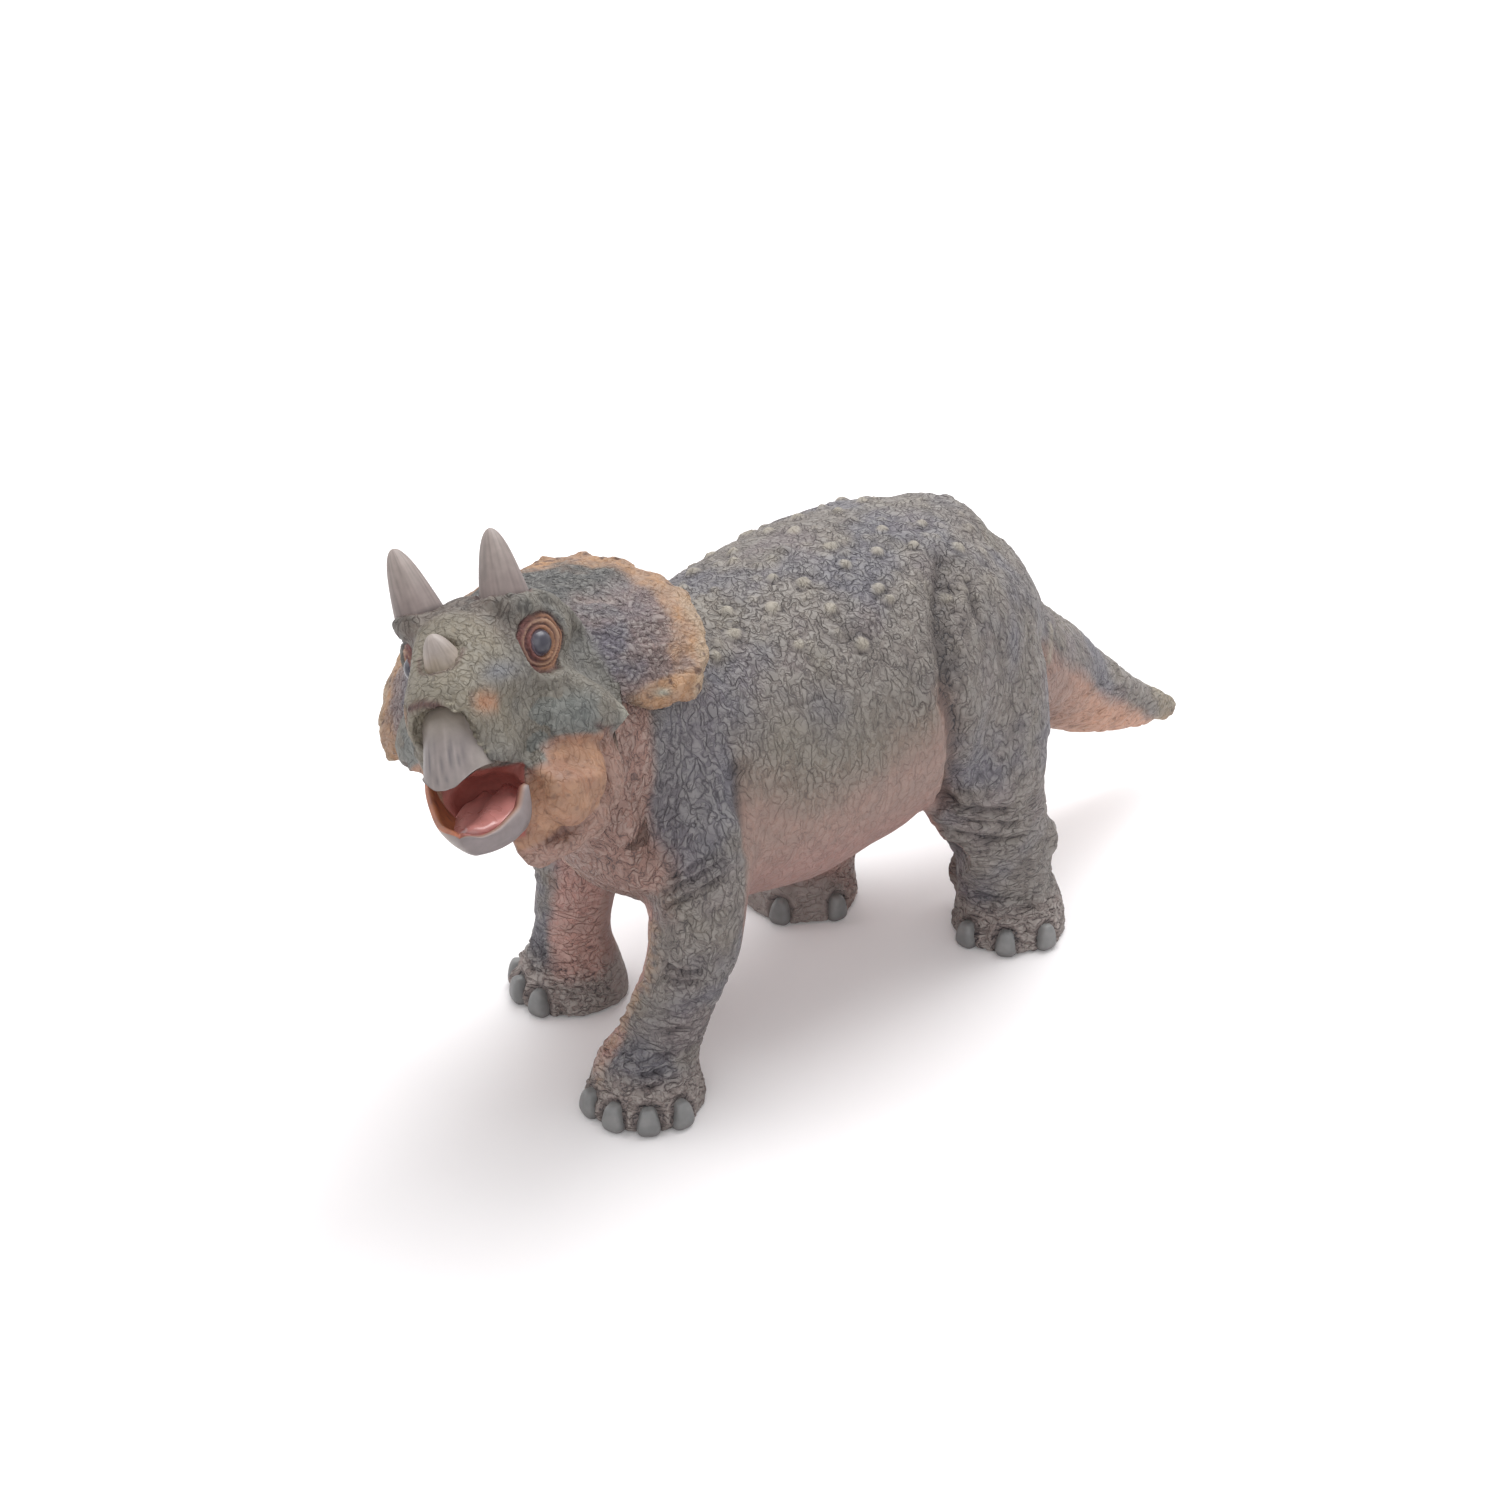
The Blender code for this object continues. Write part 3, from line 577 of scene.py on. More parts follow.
def skin_material(name, fine):
    """Painted skin: airbrushed colours, a dark wash in the grooves that is partly painted shade, and a painted
    highlight on the ridge tops
    """
    material, tree, shader = new_material(name)
    paint = node(tree, "Attribute", attribute_name="paint")
    relief = node(tree, "Attribute", attribute_name="relief").outputs["Fac"]
    rough = node(tree, "Attribute", attribute_name="rough").outputs["Fac"]
    across = node(tree, "Attribute", attribute_name="across").outputs["Fac"]
    upright = wrinkles(tree, fine, 0.95, (0.85, 0.85, 1.5), 0)
    level = wrinkles(tree, fine, 0.90, (1.7, 1.7, 0.75), 5)
    small = wrinkles(tree, fine, 0.62, (1, 1, 1), 11)
    height = blend_values(tree, across, upright.outputs["Height"], level.outputs["Height"])
    line = blend_values(tree, across, upright.outputs["Line"], level.outputs["Line"])
    line = math_node(tree, "MAXIMUM", line, math_node(tree, "MULTIPLY", small.outputs["Line"], 0.7))
    height = math_node(tree, "ADD", math_node(tree, "MULTIPLY", height, 0.68),
                       math_node(tree, "MULTIPLY", small.outputs["Height"], 0.32))
    # Darkest in the deep creases: partly the wash, partly painted shade
    deep = ramp(tree, relief, 0.75, 0.05)
    dark = math_node(tree, "ADD", math_node(tree, "MULTIPLY", math_node(tree, "MULTIPLY", line, rough), 0.62),
                     math_node(tree, "MULTIPLY", deep, 0.50), True)
    washed = blend_colours(tree, dark, paint.outputs["Color"], wash_and_shade_colour)
    # Pale on the tops of the ridges: a painted highlight
    ridge = math_node(tree, "MULTIPLY", ramp(tree, height, 0.55, 0.95), ramp(tree, relief, 0.4, 0.9))
    ridge = math_node(tree, "MULTIPLY", math_node(tree, "MULTIPLY", ridge, rough), 0.22)
    highlighted = blend_colours(tree, ridge, washed, ridge_highlight_colour)
    mottle = node(tree, "TexNoise", Scale=800.0, Detail=3.0)
    place = node(tree, "TexCoord")
    link(tree, place.outputs["Object"], mottle.inputs["Vector"])
    shade = ramp(tree, mottle.outputs["Fac"], 0.3, 0.7, 0.88, 1.10)
    final = node(tree, "VectorMath", operation="SCALE")
    link(tree, highlighted, final.inputs[0])
    link(tree, shade, final.inputs["Scale"])
    link(tree, final.outputs[0], shader.inputs["Base Color"])
    bump = node(tree, "Bump", Distance=0.00019, Strength=1.0)
    link(tree, math_node(tree, "MULTIPLY", height, rough), bump.inputs["Height"])
    link(tree, bump.outputs["Normal"], shader.inputs["Normal"])
    link(tree, ramp(tree, mottle.outputs["Fac"], 0.3, 0.7, 0.50, 0.64), shader.inputs["Roughness"])
    shader.inputs["Specular IOR Level"].default_value = 0.40
    return material


# Body

foot_sizes = {"front_left": (12.0, 12.0), "front_right": (12.0, 12.0), "rear_left": (12.6, 13.0),
              "rear_right": (12.6, 13.0)}
nail_turns = {"front_left": (-15, 18.3, 51.7, 85), "front_right": (-85, -51.7, -18.3, 15),
              "rear_left": (1, 43, 85), "rear_right": (-34, 25, 84)}
nail_half = np.array([1.18, 1.30, 1.50])
nail_rise = 1.34
# Share of the way from the foot's middle to its edge at which a nail stands, and how square, tapered and sloped it is
nail_reach = 0.90
nail_square = 3.4
nail_taper = 0.34
nail_slope = 0.12
nail_off_ground = 0.02

# How far a right foot stands from the left one's mirror image
front_step = (-2.2, 7.0)
hind_step = (2.0, -12.0)
no_step = (0, 0)

# Creases of the left side: depth, half width, step of the right side, places
creases = (
    (0.95, 1.25, no_step, ((9.1, 5.9, 44.2), (11.7, 2.6, 42.4), (14.0, 1.0, 39.6), (16.0, -0.2, 34.4),
                           (15.5, 1.4, 27.2), (11.1, 4.3, 19.8))),
    (0.35, 0.45, no_step, ((11.2, 4.6, 43.2), (13.4, 3.6, 40.6), (14.6, 3.4, 37.4))),
    (0.30, 0.40, no_step, ((10.6, 7.2, 43.0), (12.9, 6.3, 40.4), (14.0, 6.0, 38.0))),
    (0.12, 0.26, no_step, ((11.6, -20.2, 37.6), (11.9, -18.6, 38.2), (12.5, -16.0, 38.2), (13.0, -13.3, 38.4))),
    (0.10, 0.26, no_step, ((9.1, -13.7, 42.6), (11.1, -13.7, 40.8), (12.9, -13.2, 38.7))),
    (0.10, 0.25, no_step, ((7.8, -8.5, 44.4), (11.1, -8.9, 41.8), (12.4, -8.5, 40.6))),
    (0.10, 0.25, no_step, ((13.2, -15.6, 36.6), (14.0, -14.0, 35.8), (13.9, -13.4, 37.2))),
    (0.42, 0.70, no_step, ((12.3, -24.2, 34.6), (13.3, -24.6, 31.2), (14.0, -25.0, 27.6), (11.0, -24.6, 22.0))),
    (0.38, 0.36, front_step, ((10.4, -31.6, 23.6), (12.2, -31.1, 25.0), (13.7, -30.0, 26.2), (14.6, -28.2, 27.3))),
    (0.38, 0.36, front_step, ((11.0, -31.6, 22.4), (12.6, -30.9, 23.7), (13.8, -29.8, 24.7), (14.6, -28.4, 25.5))),
    (0.30, 0.32, front_step, ((11.5, -31.4, 25.6), (13.0, -30.6, 26.9), (14.2, -28.7, 28.0))),
    (0.34, 0.30, front_step, ((10.8, -31.5, 15.9), (12.3, -30.8, 15.4), (13.3, -29.8, 15.6))),
    (0.34, 0.30, front_step, ((10.5, -31.7, 14.5), (11.9, -31.1, 14.3), (13.2, -29.8, 14.5))),
    (0.28, 0.30, front_step, ((8.9, -32.8, 9.8), (10.9, -32.1, 11.2), (12.6, -30.5, 12.0), (13.5, -28.6, 12.7))),
    (0.28, 0.30, front_step, ((8.7, -33.3, 8.2), (10.8, -32.6, 9.1), (12.5, -31.0, 9.5), (13.1, -29.7, 9.7))),
    (0.40, 0.32, front_step, ((9.2, -35.0, 6.0), (11.0, -33.5, 6.8), (12.5, -31.7, 7.1), (13.0, -29.7, 7.1))),
    (0.42, 0.32, front_step, ((9.5, -35.8, 5.2), (11.5, -34.6, 5.5), (12.5, -32.4, 6.1), (13.0, -29.9, 5.6))),
    (0.42, 0.32, front_step, ((9.8, -36.2, 4.0), (11.6, -35.3, 4.3), (12.8, -33.0, 5.0), (13.3, -30.2, 4.5))),
    (0.42, 0.36, hind_step, ((11.4, 4.5, 19.9), (12.8, 5.4, 19.4), (14.6, 7.3, 18.8), (15.7, 9.8, 18.3))),
    (0.42, 0.36, hind_step, ((11.6, 5.1, 18.0), (13.5, 6.3, 17.5), (15.2, 8.9, 16.8), (15.8, 11.3, 16.3))),
    (0.42, 0.36, hind_step, ((11.9, 5.9, 15.8), (13.5, 7.1, 15.4), (15.2, 9.9, 14.5), (15.8, 12.3, 14.3))),
    (0.34, 0.32, hind_step, ((12.0, 4.8, 21.6), (14.0, 6.0, 21.0), (15.6, 8.4, 20.4))),
    (0.38, 0.34, hind_step, ((8.8, 11.6, 5.4), (11.8, 11.4, 5.0), (14.6, 13.2, 4.8), (16.2, 16.0, 4.8))),
    (0.34, 0.32, hind_step, ((8.8, 10.8, 6.8), (11.8, 10.6, 6.4), (14.4, 12.4, 6.2), (15.9, 15.6, 6.2))),
)

# Flash lines of the castings: down the front leg's inner edge, and on the thigh's rear edge
flash_line = ((8.6, -31.7, 19.0), (8.5, -31.7, 15.5), (7.0, -32.6, 10.0), (5.9, -34.1, 5.9), (6.6, -36.3, 3.5))
thigh_flash = ((4.7, 27.6, 29.4), (6.4, 25.7, 26.5))

# Scales standing out of the flanks and the back: places on the left side
tubercles = ((2.7, -10.8, 45.9), (4.9, -8.9, 45.6), (2.5, -3.0, 46.7), (5.3, -3.8, 46.0), (5.5, 0.3, 46.2),
             (6.2, 4.4, 45.8), (4.1, 7.9, 46.4), (7.9, 9.0, 44.7), (10.0, -2.7, 43.6), (11.8, -7.9, 41.4),
             (9.4, -13.8, 42.4), (8.3, -8.7, 44.0), (5.5, -13.5, 44.7), (3.1, -16.9, 44.6), (5.5, -18.3, 43.6),
             (6.6, -21.5, 42.8), (11.4, 4.0, 42.4), (8.9, -3.0, 44.4), (3.0, 3.4, 46.9), (2.8, -22.5, 43.6))


# Where the row of scales along the spine starts, and how far apart they stand
spine_start = -32
spine_step = 1.75

# Under this height a foot swells no further than its sole allows
sole_band = 1.2
sole_swell = 0.05


def foot_place(name):
    """The middle of a foot's sole"""
    for mount in frame["record"]["mounts"]:
        if mount["name"] == "sole_" + name:
            return np.array(mount["pos_m"]) / mm
    raise ValueError(name)


def nail_frames():
    """Each toenail's name, middle and turn, from the sole that it stands by"""
    for foot, turns in nail_turns.items():
        wide, deep = foot_sizes[foot]
        for number, degrees in enumerate(turns, 1):
            turn = radians(degrees)
            place = foot_place(foot) + nail_reach * np.array([sin(turn) * wide / 2, -cos(turn) * deep / 2, 0])
            place = place + picture_right * foot_shift[foot]
            yield f"nail_{foot}_{number}", np.array([place[0], place[1], nail_rise]), turn


def nearest(points, line):
    """How far each point lies from a line through places; far points are only known to be far"""
    line = np.array(line, float)
    low, high = line.min(axis=0) - 4, line.max(axis=0) + 4
    near = np.flatnonzero(((points > low) & (points < high)).all(axis=1))
    best = np.full(len(points), far_off)
    some = points[near]
    for start, end in zip(line[:-1], line[1:]):
        way = end - start
        share = np.clip((some - start) @ way / (way @ way), 0, 1)
        away = some - start - share[:, None] * way
        best[near] = np.minimum(best[near], np.sqrt((away * away).sum(axis=1)))
    return best


def other_side(line, step, rise=27.5):
    """A line of the left side laid on the right one, whose feet have stepped elsewhere"""
    made = []
    for x, y, z in line:
        share = min(max((rise - z) / rise, 0), 1)
        made.append((-x + step[0] * share, y + step[1] * share, z))
    return made


# Clay of the body: middle, half sizes and lean of the chest, throat, shin, hock, rump (twice) and tail tip (twice)
shin_lobe = (4.9, 15.3, 4.9)
body_eggs = (((1.0, -31.0, 26.6), (10.0, 4.6, 5.0), 7), ((1.5, -34.2, 31.5), (8.4, 3.2, 6.5), 0),
             (shin_lobe, (1.4, 1.9, 2.9), 0), ((12.5, 18.4, 10.6), (2.2, 2.2, 2.6), 0),
             ((0, 12.2, 42.0), (7.0, 7.2, 4.45), 0), ((0, 19.5, 38.1), (6.3, 4.0, 3.0), 0),
             ((0, 50.8, 9.9), (2.1, 4.2, 2.1), 0), ((0, 54.6, 8.5), (1.6, 2.1, 1.5), 0))


def body_clay():
    """Rolls and lobes laid on the castings before they are fused"""
    return [clay_egg(middle, half_sizes, Matrix.Rotation(radians(lean), 3, "Y"), Matrix.Identity(4))
            for middle, half_sizes, lean in body_eggs]


# Where the left shin begins and ends, seen along the picture's line of sight: heights and places
shin_front = ((0, 1.9, 7.1, 10.9, 12.4, 13.4, 14.4, 16.6, 18), (12.3, 12.7, 13.4, 14.3, 14.2, 13.3, 11.2, 9.2, 0))
shin_back = ((0, 2, 7.1, 8.8, 11.2, 13, 15.6, 18.7, 24, 27),
             (25.1, 25.1, 23.9, 23.9, 23.9, 23.2, 22.3, 21.7, 21.8, 30))
picture_right = np.array([0.682, 0.731, 0])
front_shift = -0.9
foot_shift = {"front_left": front_shift, "front_right": front_shift, "rear_left": -0.3, "rear_right": 0}


def model_body(p):
    """Draws the legs in and moves the front feet to where they stand on the toy"""
    x, y, z = p.T
    across = p @ picture_right
    here = smooth(5.6, 7.0, x) * (y > 2)
    short = np.maximum(0, np.interp(z, *shin_front) - across) * 0.92 * here * (across > 4)
    past = np.maximum(0, across - np.interp(z, *shin_back)) * 0.85 * here * smooth(6, 7.5, x)
    front = front_shift * smooth(17, 8, z) * (y < -18)
    return p + picture_right * (short - past + front)[:, None]


def body_folds(skin):
    """Heights of the folds, creases, scales and toes, and how dark and how pale they make the paint"""
    p = skin.points
    x, y, z = p.T
    height = np.zeros(len(p))
    dark = np.zeros(len(p))
    pale = np.zeros(len(p))
    uneven = 1 + 0.25 * noise(p, 1.6, 41)
    crooked = 1 + 0.22 * noise(p, 0.9, 9)
    for depth, width, step, line in creases:
        for way in (line, other_side(line, step)):
            away = nearest(p, way) / width * uneven
            height -= depth * bell(away, 1) - 0.3 * depth * bell(away - 2.0, 0.8)
            # Darker along each crease: partly a dark wash, partly painted shade
            dark = np.maximum(dark, min(0.9, 0.15 + 1.3 * depth) * bell(away, 0.8))
    for number, (tx, ty, tz) in enumerate(tubercles):
        for side in (1, -1):
            size = 0.50 + 0.20 * (number * 7 % 5) / 4
            step = p - (side * tx, ty, tz)
            near = np.flatnonzero(np.abs(step).max(axis=1) < 2.4)
            away = np.sqrt((step[near] ** 2 * (1, 0.8, 0.7)).sum(axis=1)) / size * crooked[near]
            height[near] += 0.40 * (1 - smooth(0.30, 1.30, away)) - 0.10 * bell(away - 1.6, 0.3)
            # A dark ring round each scale's foot: partly a dark wash, partly painted shade
            dark[near] = np.maximum(dark[near], 0.45 * bell(away - 1.5, 0.25))
            pale[near] = np.maximum(pale[near], 0.8 * (1 - smooth(0.6, 1.25, away)))
    along = (y - spine_start) / spine_step
    number = np.floor(along)
    bead = np.hypot(x / 0.85, (along - number - 0.5) * spine_step / 0.72)
    spine = (z > 33) * smooth(26, 22, y)
    height += 0.34 * spine * (1 - smooth(0.3, 1.25, bead)) * (0.65 + 0.35 * np.sin(number * 2.4))
    knobs = cells(p, 1.9, 77)
    high = smooth(39, 43.5, z) * (y > -30)
    bump = (1 - smooth(0.10, 0.45, knobs[0])) * (knobs[2] > 0.35) * high
    height += 0.20 * bump
    pale = np.maximum(pale, 0.35 * bump)
    for name, place, turn in nail_frames():
        away = (p - place) @ np.array(Matrix.Rotation(turn, 3, "Z")) / nail_half
        far = np.sqrt((away * away).sum(axis=1)) - 1
        front = smooth(-0.45, -0.75, away[:, 1]) * smooth(0.95, 0.72, np.abs(away[:, 0])) * (far < 0.9)
        height += 0.30 * bell(far - 0.50, 0.24) * (1 - front) - 0.45 * (1 - smooth(0.05, 0.34, far)) - 1.0 * front
        dark = np.maximum(dark, 0.85 * bell(far - 0.16, 0.17))
    parting = nearest(p, flash_line)
    ragged = bell(parting, 0.75) * (0.6 + 0.9 * noise(p, 0.9, 71))
    height += 0.42 * ragged
    flash = nearest(p, thigh_flash) + far_off * (z > 31)
    height += 0.12 * bell(flash, 0.35)
    pale = np.maximum(pale, 0.9 * bell(flash, 0.35))
    return height, dark, pale, bell(parting, 1.1)


# Edges of the body's paint: places along each, and where it lies there
belly_edge = ((-24, -18.4, -14.2, -9.5, -5.7, -3.1, -0.7), (33.8, 30.9, 30.2, 30.3, 32.1, 33.3, 35.5))
hip_edge = ((19.8, 27.2, 34.4, 39.6, 42.4, 44.2), (4.3, 1.4, -0.2, 1.0, 2.6, 5.9))
shoulder_edge = ((18, 27.6, 31, 34, 40), (-24.6, -25.4, -24.8, -24.2, -24.0))
tail_edge = ((22, 26.5, 29.6, 38.2, 46.4, 52), (31.0, 27.6, 24.7, 17.4, 12.4, 8.5))

# Lines of the body: the smooth patch behind the shoulder, and the pink rim of the thigh
calm_line = ((12.3, -18.9, 36.4), (15.2, -8.9, 33))
thigh_line = ((15.7, -0.9, 35.0), (15.6, 0.6, 27.2), (11.5, 3.6, 20.5))


def sculpt_body():
    """The fused body with its folds, wrinkles and bumps, and the layers that its paint is mixed from"""
    skin = Skin(fused("body", [world_mesh(name) for name in body_nodes] + body_clay(), body_voxel, 4))
    skin.points = model_body(skin.points)
    skin.measure()
    p = skin.points
    x, y, z = p.T
    left = np.abs(x)
    inward = -skin.normals[:, 0] * np.sign(x)
    drift = noise(p, 5.0, 12)
    belly_top = np.interp(y, *belly_edge)
    hip = np.interp(z, *hip_edge)
    shoulder = np.interp(z, *shoulder_edge)
    middle = smooth(-0.6, 0.8, y - shoulder) * smooth(1.0, -0.6, y - hip)
    belly = middle * smooth(1.4, -3.4, z - belly_top + 1.3 * drift)
    belly = np.maximum(belly, smooth(23, 20.5, z) * middle)
    chest = smooth(-31.0, -32.6, y + 0.5 * drift) * smooth(19, 22, z) * smooth(48, 43, z)
    chest = np.maximum(chest, smooth(26.5, 24, z) * smooth(-24, -26, y) * smooth(9.2, 7.6, left) * smooth(17, 21, z))
    tail = smooth(22.5, 24.5, y) * smooth(12, 15, z + 0.5 * (y - 22))
    under = tail * smooth(1.2, -1.6, z - np.interp(y, *tail_edge) + 0.9 * drift)
    leg = smooth(24, 20, z) * (1 - belly)
    inner = leg * smooth(0.05, 0.55, inward + 0.2 * drift) * smooth(2.6, 4.2, z)
    groin = smooth(31, 27, z) * smooth(3, 6, y) * smooth(0.2, 0.6, inward - skin.normals[:, 2]) * (1 - tail)
    inner = np.maximum(inner, groin)
    inner = inner * (1 - 0.95 * smooth(14, 11, z) * (x > 3) * (y > 2))
    level = np.maximum(smooth(14.5, 10.5, z) * smooth(-20, -22, y), smooth(22, 19, z) * smooth(2, 4, y))
    level = np.maximum(level, smooth(10, 8, z))
    knee = smooth(11, 13, z) * smooth(22, 20, z) * smooth(3, 5, y)
    height, dark, pale, parting = body_folds(skin)
    bent = wander(p, 3.4, 1.0, 3)
    upright = np.abs(noise(turned(bent, 0.5, 0, (1, 1, 1.7)), 1.75, 11))
    chaos = np.abs(noise(bent, 1.6, 23))
    across = np.abs(noise(turned(bent, 0, 0, (2.4, 2.4, 0.9)), 1.30, 37))
    folds = mix(np.minimum(upright, chaos * 1.3 + 0.1), across, level)
    groove = 1 - smooth(0.0, 0.42, folds)
    calm = np.clip(0.85 * belly + 0.55 * bell(nearest(p, calm_line), 3.6), 0, 0.9)
    feet = smooth(9, 7, z)
    groove = mix(groove, np.maximum(0.6 * groove, furrows(turned(bent, 0.4, 0, (1, 1, 0.9)), 1.05, 51)), feet)
    groove *= (1 - calm) * (0.55 + 0.45 * smooth(-0.2, 0.4, noise(p, 3.1, 88)))
    height += 0.22 * clouds(p, 8, 2, 9) - (0.15 + 0.08 * level + 0.05 * knee + 0.12 * smooth(8, 6, z)) * groove
    skin.push(np.where(z < sole_band, np.minimum(height, sole_swell), height))
    skin.points[:, 2] = np.maximum(skin.points[:, 2], 0)
    skin.measure()
    tone = mix(grey_green, blue_grey, smooth(-0.15, 0.45, clouds(p, 9, 3, 61)))
    tone = mix(tone, purple_grey, 0.55 * smooth(0.0, 0.5, clouds(p, 7, 2, 83)))
    tone = mix(tone, blue_grey, 0.7 * smooth(-19, -25, y) * smooth(24, 30, z) * smooth(44, 38, z))
    tone = mix(tone, olive, middle * smooth(40, 33, z) * 0.75)
    tone = mix(tone, olive, 0.5 * smooth(0.1, 0.5, clouds(p, 5, 2, 17)))
    tone = mix(tone, mix(salmon, salmon_low, smooth(27, 20, z)), belly)
    seam = middle * bell(z - belly_top + 1.3 * drift, 2.2) * 0.5
    tone = mix(tone, olive_pink, seam)
    tone = mix(tone, salmon, 0.8 * bell(nearest(p, thigh_line), 1.3))
    tone = tone * (0.86 + 0.10 * smooth(31, 27, z) * smooth(14, 18, z) * smooth(0, 4, y))[:, None]
    warm = mix(chest_brown, chest_ochre, smooth(2, -6, x + 3 * drift))
    tone = mix(tone, warm * (0.88 + 0.12 * smooth(20, 24, z) + 0.07 * smooth(27, 31, z))[:, None], chest)
    tone = mix(tone, maroon, inner * 0.9)
    tone = mix(tone, foot_grey * 1.1, smooth(6, 3.5, z) * (1 - 0.4 * inner))
    tone = mix(tone, mix(salmon, tail_orange, smooth(26, 40, y)), under)
    tone = mix(tone, tail_tip, smooth(49, 53, y) * 0.8)
    lobe = smooth(0.2, -0.6, np.sqrt((((p - shin_lobe) / (1.6, 2.1, 3.1)) ** 2).sum(axis=1)) - 1.1)
    tone = mix(tone, colour(112, 86, 78), lobe)
    tone = mix(tone, parting_ochre, parting * 0.75 * smooth(0.5, -0.2, noise(p, 1.0, 72)))
    tone = mix(tone, pale_ochre, np.clip(pale * 0.85, 0, 1))
    relief = np.clip(1 - 0.55 * groove - dark, 0, 1)
    rough = mix(np.full(len(p), 1.0), 0.35, belly)
    rough = mix(rough, 0.45, np.clip(calm, 0, 1)) * (1 - 0.7 * pale) * (1 - 0.35 * under)
    rough = rough + 0.25 * smooth(7, 4, z)
    return skin, {"paint": tone, "relief": relief, "rough": rough, "across": level}


def nail_mesh(name, place, turn):
    """A blunt toenail standing in the foot's front edge"""
    mesh = ball_mesh(name + "_shell", 40, 28)
    for point in mesh.vertices:
        x, y, z = point.co
        boxed = (abs(x) ** nail_square + abs(y) ** nail_square + abs(z) ** nail_square) ** (-1 / nail_square)
        x, y, z = np.array([x, y, z]) * boxed * nail_half
        shrink = 1 - nail_taper * smooth(-0.9, 1.7, z)
        point.co = (x * shrink, y * shrink - nail_slope * (z + 1), z)
    mesh.transform(Matrix.Translation(Vector(place)) @ Matrix.Rotation(turn, 4, "Z"))
    for point in mesh.vertices:
        point.co.z = max(point.co.z, nail_off_ground)
    return mesh


def nail_pieces(material):
    for name, place, turn in nail_frames():
        mesh = nail_mesh(name, place, turn)

        def paint(p):
            tone = mix(nail_grey, nail_pale, smooth(-0.3, 0.5, noise(p, 1.3, 19)) * 0.6)
            # Darker towards the floor at each nail's foot: painted shade
            tone = mix(tone, nail_shade, smooth(1.0, 0.2, p[:, 2]) * 0.5)
            return tone, smooth(0.0, 0.5, 1.5 - np.abs(noise(p, 0.9, 5)) * 0.6 - smooth(2.4, 3.2, p[:, 2]) * 0.9)

        painted(mesh, paint, material, None, name, Matrix.Scale(mm, 4))


# Head

frill_half_width = 16.0
frill_rise = 13.4
frill_lean = radians(30)
frill_back = 14.5
frill_drop = 6.3
frill_draw = 0.28
frill_wide = radians(90)
frill_end = radians(128)
scallop_turns = (0, 15, 31, 47, 62, 77, 92, 107)
scallop_sizes = (1.5, 1.3, 2.0, 1.6, 1.5, 1.9, 1.7, 1.8)


def frill_rim(turn, inward=0.0):
    """A point of the frill's rim in the head's frame; turn is 0 at its top"""
    past = max(0, (abs(turn) - frill_wide) / (frill_end - frill_wide))
    drawn = 1 - frill_draw * past ** 2.5
    side = sin(turn) * (frill_half_width * drawn - inward)
    rise = cos(turn) * (frill_rise * drawn - inward)
    return Vector((side, frill_back + rise * sin(frill_lean), rise * cos(frill_lean) - frill_drop))


def clay_egg(centre, half_sizes, turn=None, place=None):
    """An ellipsoid of clay in the head's frame, or in the one given, in millimetres"""
    turn = turn or Matrix.Identity(3)
    size = Matrix.Diagonal(Vector(half_sizes) * mm)
    place = place or head_matrix()
    return ball_mesh("clay", 20, 12, 1, place @ Matrix.Translation(Vector(centre) * mm) @ (turn @ size).to_4x4())


def loft(name, rings):
    """A mesh through rings of equally many points, closed at both ends"""
    sides = len(rings[0])
    last = len(rings) - 1
    faces = []
    for row in range(last):
        for k in range(sides):
            j = (k + 1) % sides
            faces.append((row * sides + k, row * sides + j, (row + 1) * sides + j, (row + 1) * sides + k))
    faces += [tuple(range(sides)), tuple(range(last * sides, (last + 1) * sides))]
    return make_mesh(name, [point for ring in rings for point in ring], faces)


def head_place_of(mesh):
    """Moves a mesh from the head's frame, in millimetres, to its place"""
    mesh.transform(head_matrix() @ Matrix.Scale(mm, 4))
    return mesh


def clay_roll(points, radii, sides=12):
    """A roll of clay through points of the head's frame, in millimetres"""
    rings = []
    last = len(points) - 1
    points = [Vector(point) for point in points]
    for i, (point, radius) in enumerate(zip(points, radii)):
        ahead = (points[min(i + 1, last)] - points[max(i - 1, 0)]).normalized()
        across = ahead.orthogonal().normalized()
        if rings:
            across = (before - ahead * before.dot(ahead)).normalized()
        before = across
        other = ahead.cross(across)
        rings.append([point + (across * cos(2 * pi * k / sides) + other * sin(2 * pi * k / sides)) * radius
                      for k in range(sides)])
    return head_place_of(loft("clay", rings))


# Clay of the head's left side, each egg with its middle and half sizes, and each roll with its points and radii
brow_eggs = (((4.9, 0.2, -3.8), (1.7, 2.2, 2.4)), ((6.3, 2.6, -2.4), (1.5, 2.8, 2.3)))
brow_roll = (((5.7, 0.3, 0.7), (6.8, 1.9, 0.0), (7.4, 4.2, -1.4), (7.8, 6.4, -2.9)), (0.75, 0.8, 0.7, 0.4))
frill_lobe = (((11.9, 11.6, -8.7), (2.7, 1.0, 2.1)), ((13.9, 12.7, -8.0), (1.7, 0.9, 1.7)),
              ((12.5, 10.8, -9.3), (0.75, 0.6, 0.5)))
cheek_spike = (((8.4, 2.9, -9.6), (1.7, 2.0, 1.5)), ((9.6, 4.8, -10.4), (0.9, 1.1, 0.8)),
               ((10.0, 5.2, -10.0), (0.5, 0.6, 0.45)), ((10.2, 5.2, -10.7), (0.6, 0.6, 0.5)),
               ((9.6, 4.6, -11.1), (0.6, 0.6, 0.45)))
jowl_pouch = (((6.0, -0.6, -15.4), (2.3, 3.5, 3.7)), ((3.7, -4.6, -11.5), (1.4, 2.7, 1.3)),
              ((7.0, 1.2, -14.6), (2.0, 2.6, 3.2)), ((7.6, 5.2, -14.8), (1.6, 1.9, 3.6)),
              ((6.0, 3.0, -18.6), (2.0, 2.4, 2.0)), ((3.6, 1.4, -20.2), (2.4, 2.4, 1.4)))
